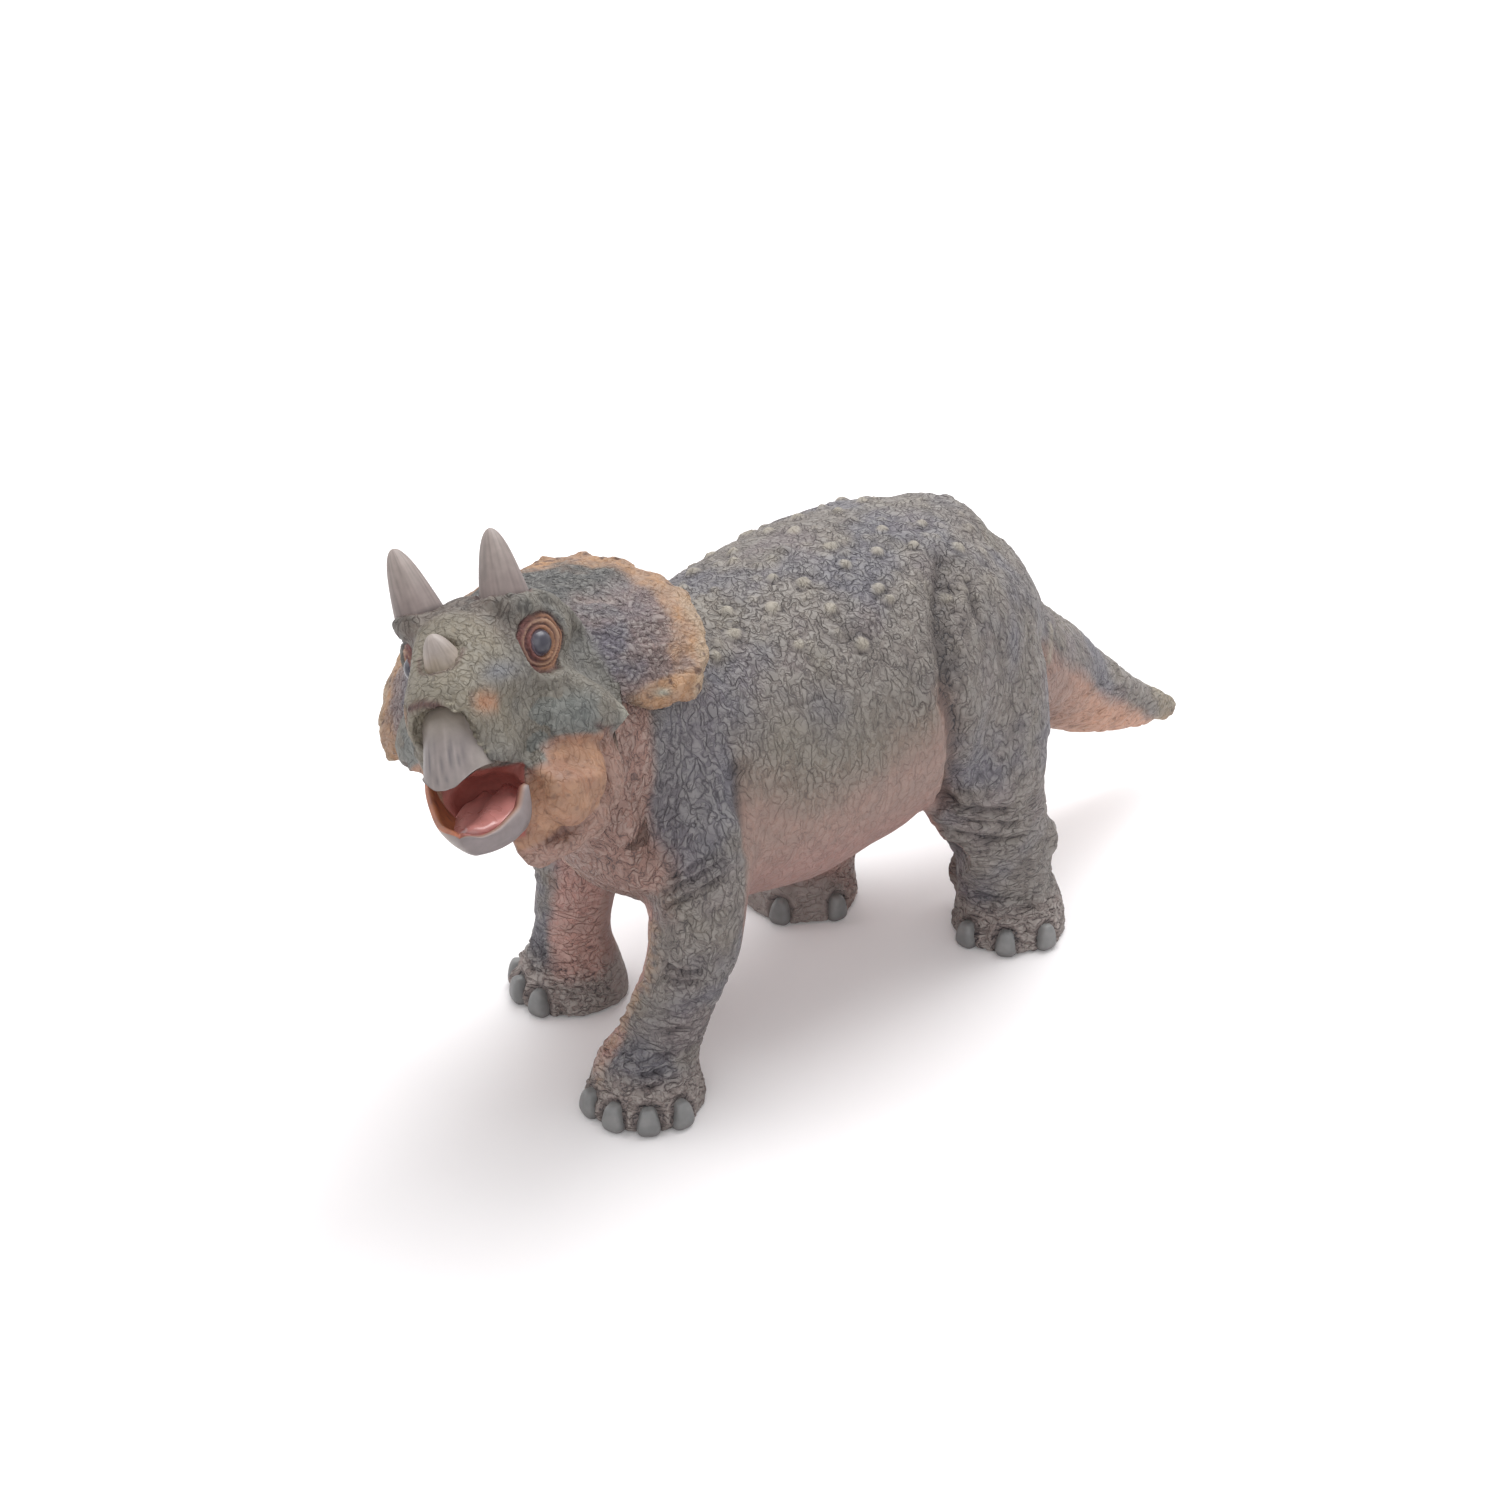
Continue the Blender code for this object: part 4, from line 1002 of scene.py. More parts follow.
snout_fold = (((0.1, -9.6, -6.95), (0.95, -9.4, -7.4), (1.6, -9.0, -8.5), (2.15, -8.6, -9.75), (2.45, -8.3, -10.85),
               (2.8, -7.9, -11.8)), (0.6, 0.55, 0.5, 0.5, 0.45, 0.42))
lip_roll = (((2.5, -8.3, -11.9), (2.95, -7.9, -12.25), (3.4, -7.0, -12.4), (3.95, -5.5, -12.6), (4.5, -3.9, -12.9),
             (4.9, -2.6, -13.2)), (0.4, 0.45, 0.45, 0.45, 0.45, 0.4))
horn_collar_beads = 10


def mirrored_eggs(side, eggs, turn=None):
    """Eggs of the left side, or of the right one where side is -1"""
    return [clay_egg((side * x, y, z), half_sizes, turn) for (x, y, z), half_sizes in eggs]


def mirrored_roll(side, roll, out=0.0):
    """A roll of the left side, or of the right one, moved out from the middle past its first point"""
    points, radii = roll
    return clay_roll([(side * (x + out * (number > 0)), y, z) for number, (x, y, z) in enumerate(points)], radii)


def scallops(side):
    """The bumps along the frill's rim; the one at its top is laid once, with the left side"""
    first = 0 if side > 0 else 1
    made = []
    for turn, size in zip(scallop_turns[first:], scallop_sizes[first:]):
        angle = radians(turn) * side
        along = (frill_rim(angle + 0.05) - frill_rim(angle - 0.05)).normalized()
        thick = Vector((0, cos(frill_lean), -sin(frill_lean)))
        out = thick.cross(along).normalized()
        lie = Matrix((along, out, thick)).transposed()
        made.append(clay_egg(frill_rim(angle, 0.35), (size * 0.9, 1.35, 0.65), lie))
    return made


def head_clay():
    """What is laid on the head's casting before it is fused: plugs in its seats, rolls, lobes and spikes"""
    clay = [clay_egg((0, -3.5, -9.6), (4.2, 5.3, 4.0)), clay_egg((0, -6.3, -4.6), (2.6, 2.2, 1.6)),
            clay_egg((0.2, -8.5, -5.4), (2.0, 1.0, 0.75))]
    rim = [radians(turn) for turn in range(-112, 113, 6)]
    clay.append(clay_roll([frill_rim(turn, 0.8) for turn in rim], [0.75] * len(rim)))
    for side in (1, -1):
        near = side > 0
        clay.append(clay_egg((side * 3.8, -0.4, -0.1), (2.5, 2.5, 0.95)))
        clay.append(clay_egg((side * 5.3, 0.5, -1.0), (1.7 if near else 0.9, 2.2, 1.5)))
        clay += mirrored_eggs(side, brow_eggs)
        clay.append(clay_egg((5.9 if near else -5.45, -0.6, -0.15), (0.85, 1.8, 1.1)))
        clay.append(mirrored_roll(side, brow_roll))
        clay += scallops(side)
        clay += mirrored_eggs(side, frill_lobe, Matrix.Rotation(-frill_lean, 3, "X"))
        clay += mirrored_eggs(side, cheek_spike)
        clay += mirrored_eggs(side, jowl_pouch)
        clay.append(mirrored_roll(side, snout_fold, 0.0 if near else 0.55))
        clay.append(mirrored_roll(side, lip_roll))
        reach = 2.45 if near else 1.95
        for k in range(horn_collar_beads):
            angle = 2 * pi * k / horn_collar_beads + 0.3
            clay.append(clay_egg((side * 3.8 + reach * cos(angle), -0.5 + 2.5 * sin(angle), 0.62), (0.5, 0.5, 0.40)))
    return clay


# How low the head's skin may hang, seen along the picture's line of sight, so that none shows under the beak
chin_edge = ((-1.0, 0.2, 0.4, 1.1, 2.1, 2.9, 6.0), (-18.7, -19.1, -20.4, -21.6, -22.2, -22.9, -23.5))

# The frill's lower edge
lobe_edge = ((6.2, 6.8, 7.5, 9.5, 11.0, 12.5, 13.5, 14.2, 15.0),
             (-7.4, -8.1, -9.1, -10.3, -10.75, -10.3, -9.7, -8.4, -7.0))


def as_seen(local):
    """Points of the head as they look from the front: to the right and up, in millimetres"""
    side, rear, rise = local.T
    return np.stack([0.944 * side + 0.267 * rear - 0.194 * rise, 0.187 * side + 0.051 * rear + 0.981 * rise], axis=1)


# How far out the head's far side may lie, seen along the picture's line of sight: heights and limits
far_edge = ((-20.3, -19.1, -18.2, -17.0, -15.3, -14.0, -13.3, -12.5, -3.0, -2.3, -1.4, -0.5, 0.3, 0.8),
            (1.3, 0.1, -0.8, -2.1, -3.0, -3.3, -4.2, -9.0, -9.0, -5.4, -6.0, -6.2, -6.1, -9.0))
# How much the far side is narrowed, by height
far_narrow = ((-14, -8, -6.7, -4, -1.2, 0.3), (0, 0.02, 0.08, 0.17, 0.15, 0))


def model_head(local):
    """Draws the head's fused shape in where the toy is narrower than its casting"""
    side, rear, rise = local.T.copy()
    left = np.abs(side)
    snout = smooth(3.0, -1.0, rear) * smooth(-6.0, -8.5, rise) * smooth(-15.5, -13.5, rise) * smooth(2.5, 5.5, left)
    side = side * (1 - 0.20 * snout)
    far = smooth(2.0, 4.5, -side) * smooth(3.5, -1, rear)
    side = side * (1 - far * np.interp(rise, *far_narrow))
    across = side + 0.3925 * rear
    low = np.interp(across, *chin_edge)
    rise = np.where((rise < low) & (rear < 9), low + (rise - low) * 0.06, rise)
    across, high = as_seen(np.stack([side, rear, rise], axis=1)).T
    short = np.interp(high, *far_edge) - across
    side = np.where((short > 0) & (rear < 7), side + 0.96 * short / 0.944, side)
    edge = np.interp(rear, *lobe_edge)
    lobe = smooth(6.6, 7.6, np.abs(side)) * smooth(6.0, 6.5, rear)
    rise = np.where(rise < edge, rise + (edge - rise) * 0.96 * lobe, rise)
    flat, angle = frill_polar(side, rise)
    rim = 0.985 - 0.035 * bell(angle - 50, 9) * (side > 0) - 0.045 * smooth(68, 60, angle) * (side < 0)
    rim = rim + 0.014 * noise(np.stack([side, rear, rise], 1), 1.1, 29)
    keep = np.where(angle < 32, 0.5, 0.28)
    drawn = np.where((flat > rim) & (rear > 6.5), (rim + (flat - rim) * keep) / flat, 1)
    side, rise = side * drawn, (rise + frill_drop) * drawn - frill_drop
    rear = np.where(drawn < 1, frill_back + (rear - frill_back) * drawn, rear)
    made = np.stack([side, rear, rise], axis=1)
    for which in (1, -1):
        centre, out, fore, up = eye_frame(which)
        away = made - np.array(centre)
        u, v, deep = (away @ np.array(axis) for axis in (fore, up, out))
        near = np.hypot(u, v) / eye_ring
        share = smooth(1.30, 0.9, near) * (np.abs(deep) < 2.6)
        made = made + np.array(out) * (share * (0.30 - 0.25 * near ** 2 - deep))[:, None]
    return made


def frill_polar(side, rise):
    """A point's place on the frill: share of the way to the rim, and degrees from the top"""
    left = np.abs(side)
    flat = np.hypot(left / frill_half_width, (rise + frill_drop) / (frill_rise * cos(frill_lean)))
    return flat, np.degrees(np.arctan2(left, rise + frill_drop))


eye_ring = 2.35


def eye_frame(side):
    """The middle of an eye's ring, and the ways out, forward and up from it"""
    out = Vector((0.87 * side, -0.47, -0.14)).normalized()
    fore = Vector((0, -1, 0))
    fore = (fore - out * fore.dot(out)).normalized()
    rise = out.cross(fore) * -side
    return Vector((6.0 if side > 0 else -5.35, -0.3, -3.5)), out, fore, rise


# Lines of the head's left side: the depth, half width and places of each
head_creases = (
    (0.34, 0.42, ((5.2, -3.4, -10.0), (5.9, -3.0, -10.0), (6.4, -2.2, -10.1), (7.8, -1.6, -10.6), (9.1, 1.3, -11.3),
                  (9.2, 4.6, -11.7))),
    (0.30, 0.40, ((8.9, 3.4, -11.9), (8.8, 3.4, -14.2), (8.2, 3.2, -16.4), (7.0, 2.3, -17.9), (5.8, -0.1, -18.9),
                  (3.8, -1.0, -19.9))),
    (0.22, 0.30, ((2.9, -9.6, -7.0), (2.75, -9.8, -7.8), (2.7, -9.7, -8.5))),
)

# The fold of the snout over the beak, as it is seen from the front
beak_fold = ((-3.87, -8.1, 0), (-2.4, -7.6, 0), (-1.09, -7.8, 0), (-0.31, -8.77, 0), (0.58, -9.94, 0),
             (1.24, -10.9, 0), (1.75, -11.6, 0))


def near_line(local, line):
    """How far points of the head lie from a line of its left side or from the line's mirror image"""
    mirrored = np.stack([np.abs(local[:, 0]), local[:, 1], local[:, 2]], axis=1)
    return nearest(mirrored, line)


def eye_lids(local):
    """The lids round both eyes: their height, and masks of the ring, its dark lines, its pale folds and its edge"""
    height, ring, dark, pale, within = (np.zeros(len(local)) for _ in range(5))
    uneven = 0.07 * noise(local, 1.3, 66) + 0.03 * noise(local, 0.6, 67)
    for which in (1, -1):
        centre, out, fore, up = eye_frame(which)
        away = local - np.array(centre)
        u, v, deep = away @ np.array(fore), away @ np.array(up), away @ np.array(out)
        near = np.hypot(u, v) / eye_ring * (1 + uneven * smooth(0.45, 0.7, np.hypot(u, v) / eye_ring))
        close = ((np.abs(deep) < 3.2) & (near < 2)).astype(float)
        upper = smooth(-0.2, 0.6, v)
        shape = (-0.95 * (1 - smooth(0.42, 0.52, near)) + 0.34 * bell(near - 0.57, 0.06)
                 - 0.10 * bell(near - 0.68, 0.045) + (0.16 + 0.16 * upper) * bell(near - 0.80, 0.065) - 0.12 * bell(near - 0.90, 0.04)
                 + 0.14 * bell(near - 0.97, 0.05) - 0.26 * bell(near - 1.06, 0.055) + 0.14 * bell(near - 1.28, 0.15))
        fade = close * (1 - smooth(1.4, 1.9, near))
        height += shape * fade
        within = np.maximum(within, close * (1 - smooth(0.98, 1.10, near)))
        ring = np.maximum(ring, close * (1 - smooth(1.00, 1.08, near)))
        dark = np.maximum(dark, close * np.maximum.reduce([
            bell(near - 0.68, 0.06), 0.85 * bell(near - 0.90, 0.045), bell(near - 1.06, 0.05), (near < 0.46) * 1.0]))
        folds = 0.6 * bell(near - 0.78, 0.05) * upper + 0.5 * bell(near - 0.80, 0.05) * (1 - upper)
        pale = np.maximum(pale, close * folds)
    return height, ring, dark, pale, within


# Edges of the head's paint: places along each, and where it lies there
jowl_edge = ((-4.2, -2.9, -2.3, -2.0, 0.0, 5.0), (-13.9, -13.3, -12.2, -11.5, -11.5, -11.9))
pouch_edge = ((-20.6, -19.9, -18.9, -17.8, -16.4, -14.2, -11.9), (-1.6, -1.0, -0.2, 2.0, 3.0, 3.2, 3.4))

# Lines of the head's left side: the cheek's ridges, the frill's dent and the shade before it, the spike's pale tip
cheek_line = ((6.5, -0.5, -7.5), (9.0, 3.0, -9.5))
dent_line = ((6.9, 9.8, 0.2), (9.0, 11.6, -0.3))
frill_shade = ((7.2, 8.3, -1.4), (9.6, 10.6, -1.7))
spike_tip = ((9.7, 5.2, -10.4), (10.2, 5.3, -10.7))


def sculpt_head():
    """The fused head with its folds, lids and scales, and the layers that its paint is mixed from"""
    skin = Skin(fused("head", [world_mesh("skull")] + head_clay(), head_voxel, 2, grown=0.02))
    turn = np.array(head_matrix().to_3x3())
    origin = np.array(head_place) / mm
    local = model_head((skin.points - origin) @ turn)
    skin.points = local @ turn.T + origin
    skin.measure()
    side, rear, rise = local.T
    left = np.abs(side)
    bent = wander(local, 2.4, 0.8, 3)
    flat, angle = frill_polar(side, rise)
    seen = as_seen(local)
    frill = (smooth(5.8, 7.4, rear) * smooth(0.30, 0.50, flat)
             * smooth(6.6, 7.4, rear + 0.3 * (rise + 8) * (rise > -8)))
    band = 1.0 + 0.4 * smooth(40, 80, angle) + 3.2 * smooth(92, 108, angle)
    drift = noise(local, 2.2, 4)
    inner = (1 - flat) * 14.5 + 0.9 * drift
    rim = frill * smooth(band + 0.9, band - 0.5, inner)
    jowl = smooth(0.25, -0.45, rise - np.interp(rear, *jowl_edge) + 0.3 * drift) * smooth(6.4, 5.8, rear)
    olive_side = (seen[:, 0] - 5.58) * 0.8 - (seen[:, 1] + 13.34) * 0.602
    pouch = jowl * smooth(0.3, -0.5, rear - np.interp(rise, *pouch_edge))
    pouch = pouch * np.where(side > 0, smooth(-0.4, 0.9, olive_side), 1)
    jowl = jowl * np.where(side > 0, smooth(-1.2, 0.3, olive_side), 1)
    worm = furrows(turned(bent, 0.3, 0.6, (1.5, 1, 1)), 0.66, 11)
    scale = furrows(turned(wander(local, 2.4, 0.5, 8), 0.5, 0.9, (0.8, 1.3, 0.8)), 0.85, 23)
    cheek = bell(near_line(local, cheek_line), 2.6)
    ridges = 1 - np.abs(np.sin((rear * 0.8 + rise * 1.1 + 1.2 * drift) * 3.4))
    groove = mix(0.55 * scale, worm, frill * (1 - 0.7 * rim))
    groove = np.clip(groove * (1 - 0.6 * pouch) + 0.45 * cheek * smooth(0.6, 1.0, ridges), 0, 1)
    lumps = clouds(local, 4.5, 2, 9)
    dent = bell(near_line(local, dent_line), 0.9) * frill
    height = 0.12 * lumps - mix(np.full(len(local), 0.10), 0.19, frill) * groove - 0.30 * dent
    lids, ring, dark, pale, within = eye_lids(local)
    height = height * (1 - within) + lids
    for depth, width, line in head_creases:
        away = near_line(local, line) / width * (1 + 0.2 * drift)
        height -= depth * bell(away, 1) - 0.25 * depth * bell(away - 2.0, 0.8)
        # Darker along each crease: partly a dark wash, partly painted shade
        dark = np.maximum(dark, 0.75 * bell(away, 0.75))
    flat_seen = np.concatenate([seen, np.zeros((len(seen), 1))], axis=1)
    fold = nearest(flat_seen, beak_fold) + far_off * (rear > -4) + far_off * (side < -2.5)
    dark = np.maximum(dark, bell(fold, 0.38))
    beads = bell(fold - 0.75, 0.3) * smooth(-0.1, 0.5, np.sin(rise * 9.0)) * (seen[:, 0] > -0.5)
    height += 0.14 * beads
    base = np.abs(np.hypot(left - 3.8, rear + 0.5) - 2.25) + far_off * (rise < -0.6) + far_off * (rear > 3.5)
    dark = np.maximum(dark, 0.8 * bell(base, 0.22))
    nose = np.abs(np.hypot(side - 0.15, (rear + 7.4) * 0.9) - 1.95) + far_off * (np.abs(rise + 4.4) > 1.4)
    dark = np.maximum(dark, 0.6 * bell(nose, 0.2))
    nostril = bell(np.hypot((left - 3.65) / 0.62, (rise + 7.8) / 1.0), 0.85) * smooth(-6.0, -7.4, rear)
    height -= 0.14 * nostril
    spot = bell(np.hypot((left - 12.5) / 0.75, (rise + 9.35) / 0.45), 0.8) * frill
    height += 0.12 * spot
    skin.push(height)
    skin.measure()
    tone = mix(colour(128, 122, 112), colour(117, 115, 111), smooth(-0.2, 0.4, clouds(local, 5, 2, 61)))
    tone = mix(tone, colour(112, 99, 92), smooth(-5.5, -2, rise) * smooth(-8, -3, rear) * smooth(6.5, 4, left) * 0.85)
    brow_dirt = smooth(0.05, 0.45, noise(local, 1.2, 73)) * smooth(-3.5, -0.5, rise) * (1 - frill) * 0.8
    tone = mix(tone, tone * 0.5, brow_dirt)
    tone = mix(tone, colour(140, 130, 112), smooth(-3, -6, rear) * smooth(-13, -9, rise) * 0.75)
    tone = mix(tone, colour(112, 116, 128), 0.7 * bell(np.hypot(left - 4.5, rise + 5.5) + far_off * (rear > -3), 1.0))
    cheek_tint = 0.6 * smooth(-4, -2, rear) * smooth(4, 0, rear) * smooth(-7, -9, rise) * (drift > -0.2)
    tone = mix(tone, colour(110, 118, 118), cheek_tint)
    plum = mix(colour(140, 124, 124), colour(118, 112, 122), smooth(-0.3, 0.3, clouds(local, 3, 2, 15)))
    tone = mix(tone, plum, frill)
    tone = mix(tone, colour(92, 92, 90), frill * smooth(0.58, 0.70, flat) * smooth(60, 40, angle) * 0.9)
    tone = mix(tone, colour(156, 140, 136), dent)
    tone = mix(tone, colour(96, 98, 106), 0.6 * frill * bell(near_line(local, frill_shade), 0.8))
    blush = frill * smooth(band + 3.4, band + 0.3, inner) * smooth(45, 75, angle)
    tone = mix(tone, colour(158, 132, 124), blush * 0.8)
    edge = smooth(0.9, 0.2, inner - 0.5 * drift)
    ochre = mix(colour(182, 146, 120), colour(196, 150, 110), smooth(-0.3, 0.5, clouds(local, 2.4, 2, 44)))
    tone = mix(tone, ochre, rim)
    tone = mix(tone, colour(206, 184, 158), rim * edge * smooth(55, 80, angle) * 0.6)
    specks = smooth(0.30, 0.48, noise(local, 0.75, 91) + 0.25 * smooth(50, 20, angle) - 0.1)
    tone = mix(tone, colour(112, 82, 68), rim * specks * 0.85)
    tone = mix(tone, colour(196, 192, 176), spot)
    tone = mix(tone, colour(176, 138, 124), jowl)
    peach = mix(colour(192, 146, 116), colour(172, 126, 102), smooth(-0.3, 0.5, clouds(local, 2.6, 2, 33)))
    tone = mix(tone, peach, pouch)
    tone = mix(tone, colour(130, 92, 72), jowl * smooth(0.32, 0.5, noise(local, 0.62, 57)) * 0.6)
    # Darker on the frill's lower lobe beside the cheek: painted shade
    tone = mix(tone, colour(112, 96, 78), rim * smooth(11.2, 9.8, left) * smooth(80, 100, angle))
    tone = tone * mix(0.76, 0.69, np.maximum(frill, jowl))[:, None]
    tone = mix(tone, colour(166, 118, 88), nostril)
    tone = mix(tone, mix(colour(160, 118, 92), colour(122, 78, 74), smooth(0.2, -1.4, rear + 0.5 * drift)), ring)
    tone = mix(tone, colour(186, 156, 132), pale)
    tone = mix(tone, colour(168, 160, 140), 0.6 * beads)
    tone = mix(tone, colour(172, 170, 156), 0.8 * bell(near_line(local, spike_tip), 0.8))
    mouth = mouth_mask(local)
    tone = mix(tone, colour(86, 54, 52), np.clip(dark, 0, 1) * 0.85 * (1 - mouth))
    tone = mix(tone, mix(colour(150, 84, 76), colour(168, 98, 90), smooth(-4, 0, rear)), mouth)
    relief = np.clip(1 - 0.6 * groove - 0.5 * dark, 0, 1) * (1 - mouth) + mouth
    rough = np.full(len(local), 0.62) * (1 - 0.45 * pouch) * (1 + 0.55 * frill)
    rough = rough * (1 - 0.35 * rim) * (1 - 0.8 * ring) * (1 - 0.9 * mouth)
    return skin, {"paint": tone, "relief": relief, "rough": rough, "across": 0.5 * frill}


def mouth_mask(local):
    """1 on the skin that lines the open mouth"""
    side, rear, rise = local.T
    return (smooth(-12.95, -13.25, rise) * smooth(4.1, 3.8, np.abs(side)) * smooth(4.5, 3.5, rear)
            * smooth(-19.4, -18.9, rise) * smooth(5.35, 5.15, as_seen(local)[:, 0]))


def swell(share):
    """How a horn thins from its foot, 0, to its blunt tip, 1"""
    share = min(max(share, 0), 1)
    return (1 - 0.60 * share ** 1.15) * (1 - share ** 7) ** 0.5


# How far a horn is sunk in the head, how far it runs from there, in shares of its length, and how its rows crowd
horn_sink = 0.14
horn_run = 1.1399
horn_crowding = 0.8


def horn_mesh(name, foot, tip, radius, seed, rows=48, sides=64):
    """A blunt horn with faint ridges along it, sunk a little in the head"""
    foot, tip = Vector(foot), Vector(tip)
    along = tip - foot
    across = along.orthogonal().normalized()
    other = along.normalized().cross(across)
    rings = []
    for row in range(rows):
        share = -horn_sink + horn_run * (row / (rows - 1)) ** horn_crowding
        centre = foot + along * share
        turns = np.arange(sides) * 2 * pi / sides
        round_foot = np.stack([np.cos(turns) * 3.2, np.sin(turns) * 3.2, np.full(sides, share * 1.4)], 1)
        ridge = noise(round_foot, 0.75, seed)
        size = radius * swell(share) * (1 + 0.022 * ridge * (1 - max(share, 0)))
        rings.append([centre + (across * cos(turn) + other * sin(turn)) * float(each)
                      for turn, each in zip(turns, size)])
    return loft(name, rings)


def spans(table, rows):
    """Rows between the rows of a table, evenly along its first column and smoothly in the others"""
    table = np.array(table)
    at = np.linspace(0, 1, rows)
    knots = np.linspace(0, 1, len(table))
    made = np.stack([np.interp(at, knots, column) for column in table.T], axis=1)
    for _ in range(rows // len(table)):
        made[1:-1] = (made[:-2] + 2 * made[1:-1] + made[2:]) / 4
    return made


upper_beak_rows = (
    # rise, front, half width, rear
    (-6.9, -8.9, 1.2, -7.4),
    (-7.4, -9.7, 1.9, -7.0),
    (-8.4, -10.35, 2.5, -6.6),
    (-9.8, -10.9, 2.5, -6.6),
    (-11.2, -11.35, 2.62, -6.8),
    (-12.5, -11.65, 2.8, -7.2),
    (-13.4, -11.8, 2.9, -7.4),
    (-14.5, -11.9, 2.9, -7.4),
)
beak_steps = 40

# The upper beak's cutting edge, by how far it lies from the middle
lip_edge = ((0, 0.9, 1.48, 2.27, 2.86, 3.35), (-14.25, -14.12, -13.69, -13.1, -12.75, -12.78))


def upper_beak_mesh():
    """The upper beak: a pointed shield whose lower edge is cut along the lip"""
    rings = []
    for rise, front, half, rear in spans(upper_beak_rows, beak_steps):
        ring = []
        for k in range(beak_steps + 1):
            turn = (k / beak_steps * 2 - 1) * pi / 2
            side = half * np.sign(sin(turn)) * abs(sin(turn)) ** 0.9
            ahead = rear + (front - rear) * cos(turn) ** 0.8
            lip = np.interp(abs(side), *lip_edge)
            ring.append((side, ahead, max(rise, lip + 0.0001 * (rise + 14.5))))
        rings.append(ring)
    return loft("upper_beak_shell", rings)


lower_beak_rows = (
    # rear, half width, rim, foot, inner foot, squareness
    (-5.1, 4.5, -15.05, -19.5, -18.4, 3.0),
    (-6.0, 4.25, -15.55, -19.9, -18.5, 2.7),
    (-6.9, 3.85, -16.1, -20.1, -18.7, 2.4),
    (-8.3, 3.05, -17.05, -20.05, -18.7, 2.0),
    (-9.2, 2.45, -17.4, -19.7, -18.4, 1.8),
    (-10.2, 1.55, -17.6, -19.1, -17.9, 1.7),
    (-10.75, 0.8, -17.75, -18.6, -17.8, 1.7),
    (-11.0, 0.25, -17.95, -18.25, -18.0, 1.7),
)
# How far the near rim sags, and how many points each row has outside and inside
beak_sag = 1.1
beak_outside = 33
beak_inside = 25


def lower_beak_mesh():
    """The lower beak: a scoop with a rounded rim"""
    rings = []
    for rear, half, rim, foot, inner, square in spans(lower_beak_rows, 44):
        ring = []
        for low, wide, count in ((foot, half, beak_outside), (inner, max(half - 0.75, half * 0.25), beak_inside)):
            arc = []
            for k in range(count):
                turn = pi * k / (count - 1)
                boxed = square if k < count / 2 else max(1.35, square * 0.55)
                across = np.sign(cos(turn)) * abs(cos(turn)) ** (2 / boxed)
                side = wide * across
                raised = 0.205 * (4.5 - side) * min(1, (rear + 11) / 5.9)
                sunk = beak_sag * max(0, across) * smooth(-5.3, -6.6, rear) * smooth(-11.6, -9.8, rear)
                top = rim + raised - sunk
                arc.append((side, rear, top + (low + 0.35 * raised - top) * sin(turn) ** (2 / boxed)))
            ring.append(arc)
        lift = min(0.22, half * 0.2)
        outer, inside = ring[0], ring[1][::-1]
        between = [((outer[-1][0] + inside[0][0]) / 2, rear, outer[-1][2] + lift)]
        close = [((outer[0][0] + inside[-1][0]) / 2, rear, outer[0][2] + lift)]
        rings.append(outer + between + inside + close)
    return loft("lower_beak_scoop", rings)


tongue_rows = (
    # rear, half width, top, foot
    (0.0, 2.4, -14.6, -17.4),
    (-1.5, 2.9, -14.9, -17.8),
    (-3.5, 3.2, -15.5, -18.4),
    (-5.5, 3.0, -16.2, -18.8),
    (-7.2, 2.5, -16.9, -18.9),
    (-8.4, 1.8, -17.35, -18.8),
    (-9.1, 1.0, -17.6, -18.6),
    (-9.4, 0.3, -17.9, -18.4),
)


tongue_steps = 36


def tongue_mesh():
    """The tongue: a slab with a furrow down its middle"""
    rings = []
    for rear, half, top, foot in spans(tongue_rows, tongue_steps):
        ring = []
        for k in range(tongue_steps):
            turn = 2 * pi * k / tongue_steps
            side = half * cos(turn)
            high = (top + foot) / 2 + (top - foot) / 2 * np.sign(sin(turn)) * abs(sin(turn)) ** 0.8
            if sin(turn) > 0:
                high += 0.16 * bell(side - 0.9, 0.5) - 0.24 * bell(side + 0.2, 0.45) * smooth(-9.2, -7, rear)
                high += 0.10 * sin(side * 3.1 + rear * 1.3)
            ring.append((side, rear, float(high)))
        rings.append(ring)
    return loft("tongue_slab", rings)


def cast_material(name, streak, gloss, coat, dark):
    """Smooth painted plastic for horn, beak, nails and mouth, with streaks and specks, darkened where its relief
    layer is low
    """
    material, tree, shader = new_material(name)
    paint = node(tree, "Attribute", attribute_name="paint")
    relief = node(tree, "Attribute", attribute_name="relief")
    place = node(tree, "TexCoord")
    speck = node(tree, "TexNoise", Scale=1600.0, Detail=2.0)
    link(tree, place.outputs["Object"], speck.inputs["Vector"])
    cloud = node(tree, "TexNoise", Scale=420.0, Detail=3.0)
    link(tree, place.outputs["Object"], cloud.inputs["Vector"])
    groove = math_node(tree, "MULTIPLY", math_node(tree, "SUBTRACT", 1.0, relief.outputs["Fac"]), streak)
    washed = blend_colours(tree, groove, paint.outputs["Color"], dark)
    shade = math_node(tree, "ADD", ramp(tree, cloud.outputs["Fac"], 0.3, 0.7, 0.90, 1.06),
                      ramp(tree, speck.outputs["Fac"], 0.25, 0.75, -0.05, 0.05))
    final = node(tree, "VectorMath", operation="SCALE")
    link(tree, washed, final.inputs[0])
    link(tree, shade, final.inputs["Scale"])
    link(tree, final.outputs[0], shader.inputs["Base Color"])
    bump = node(tree, "Bump", Distance=0.00003, Strength=0.6)
    link(tree, math_node(tree, "ADD", speck.outputs["Fac"], cloud.outputs["Fac"]), bump.inputs["Height"])
    link(tree, bump.outputs["Normal"], shader.inputs["Normal"])
    link(tree, ramp(tree, cloud.outputs["Fac"], 0.3, 0.7, gloss - 0.06, gloss + 0.06), shader.inputs["Roughness"])
    shader.inputs["Coat Weight"].default_value = coat
    shader.inputs["Coat Roughness"].default_value = 0.12
    return material


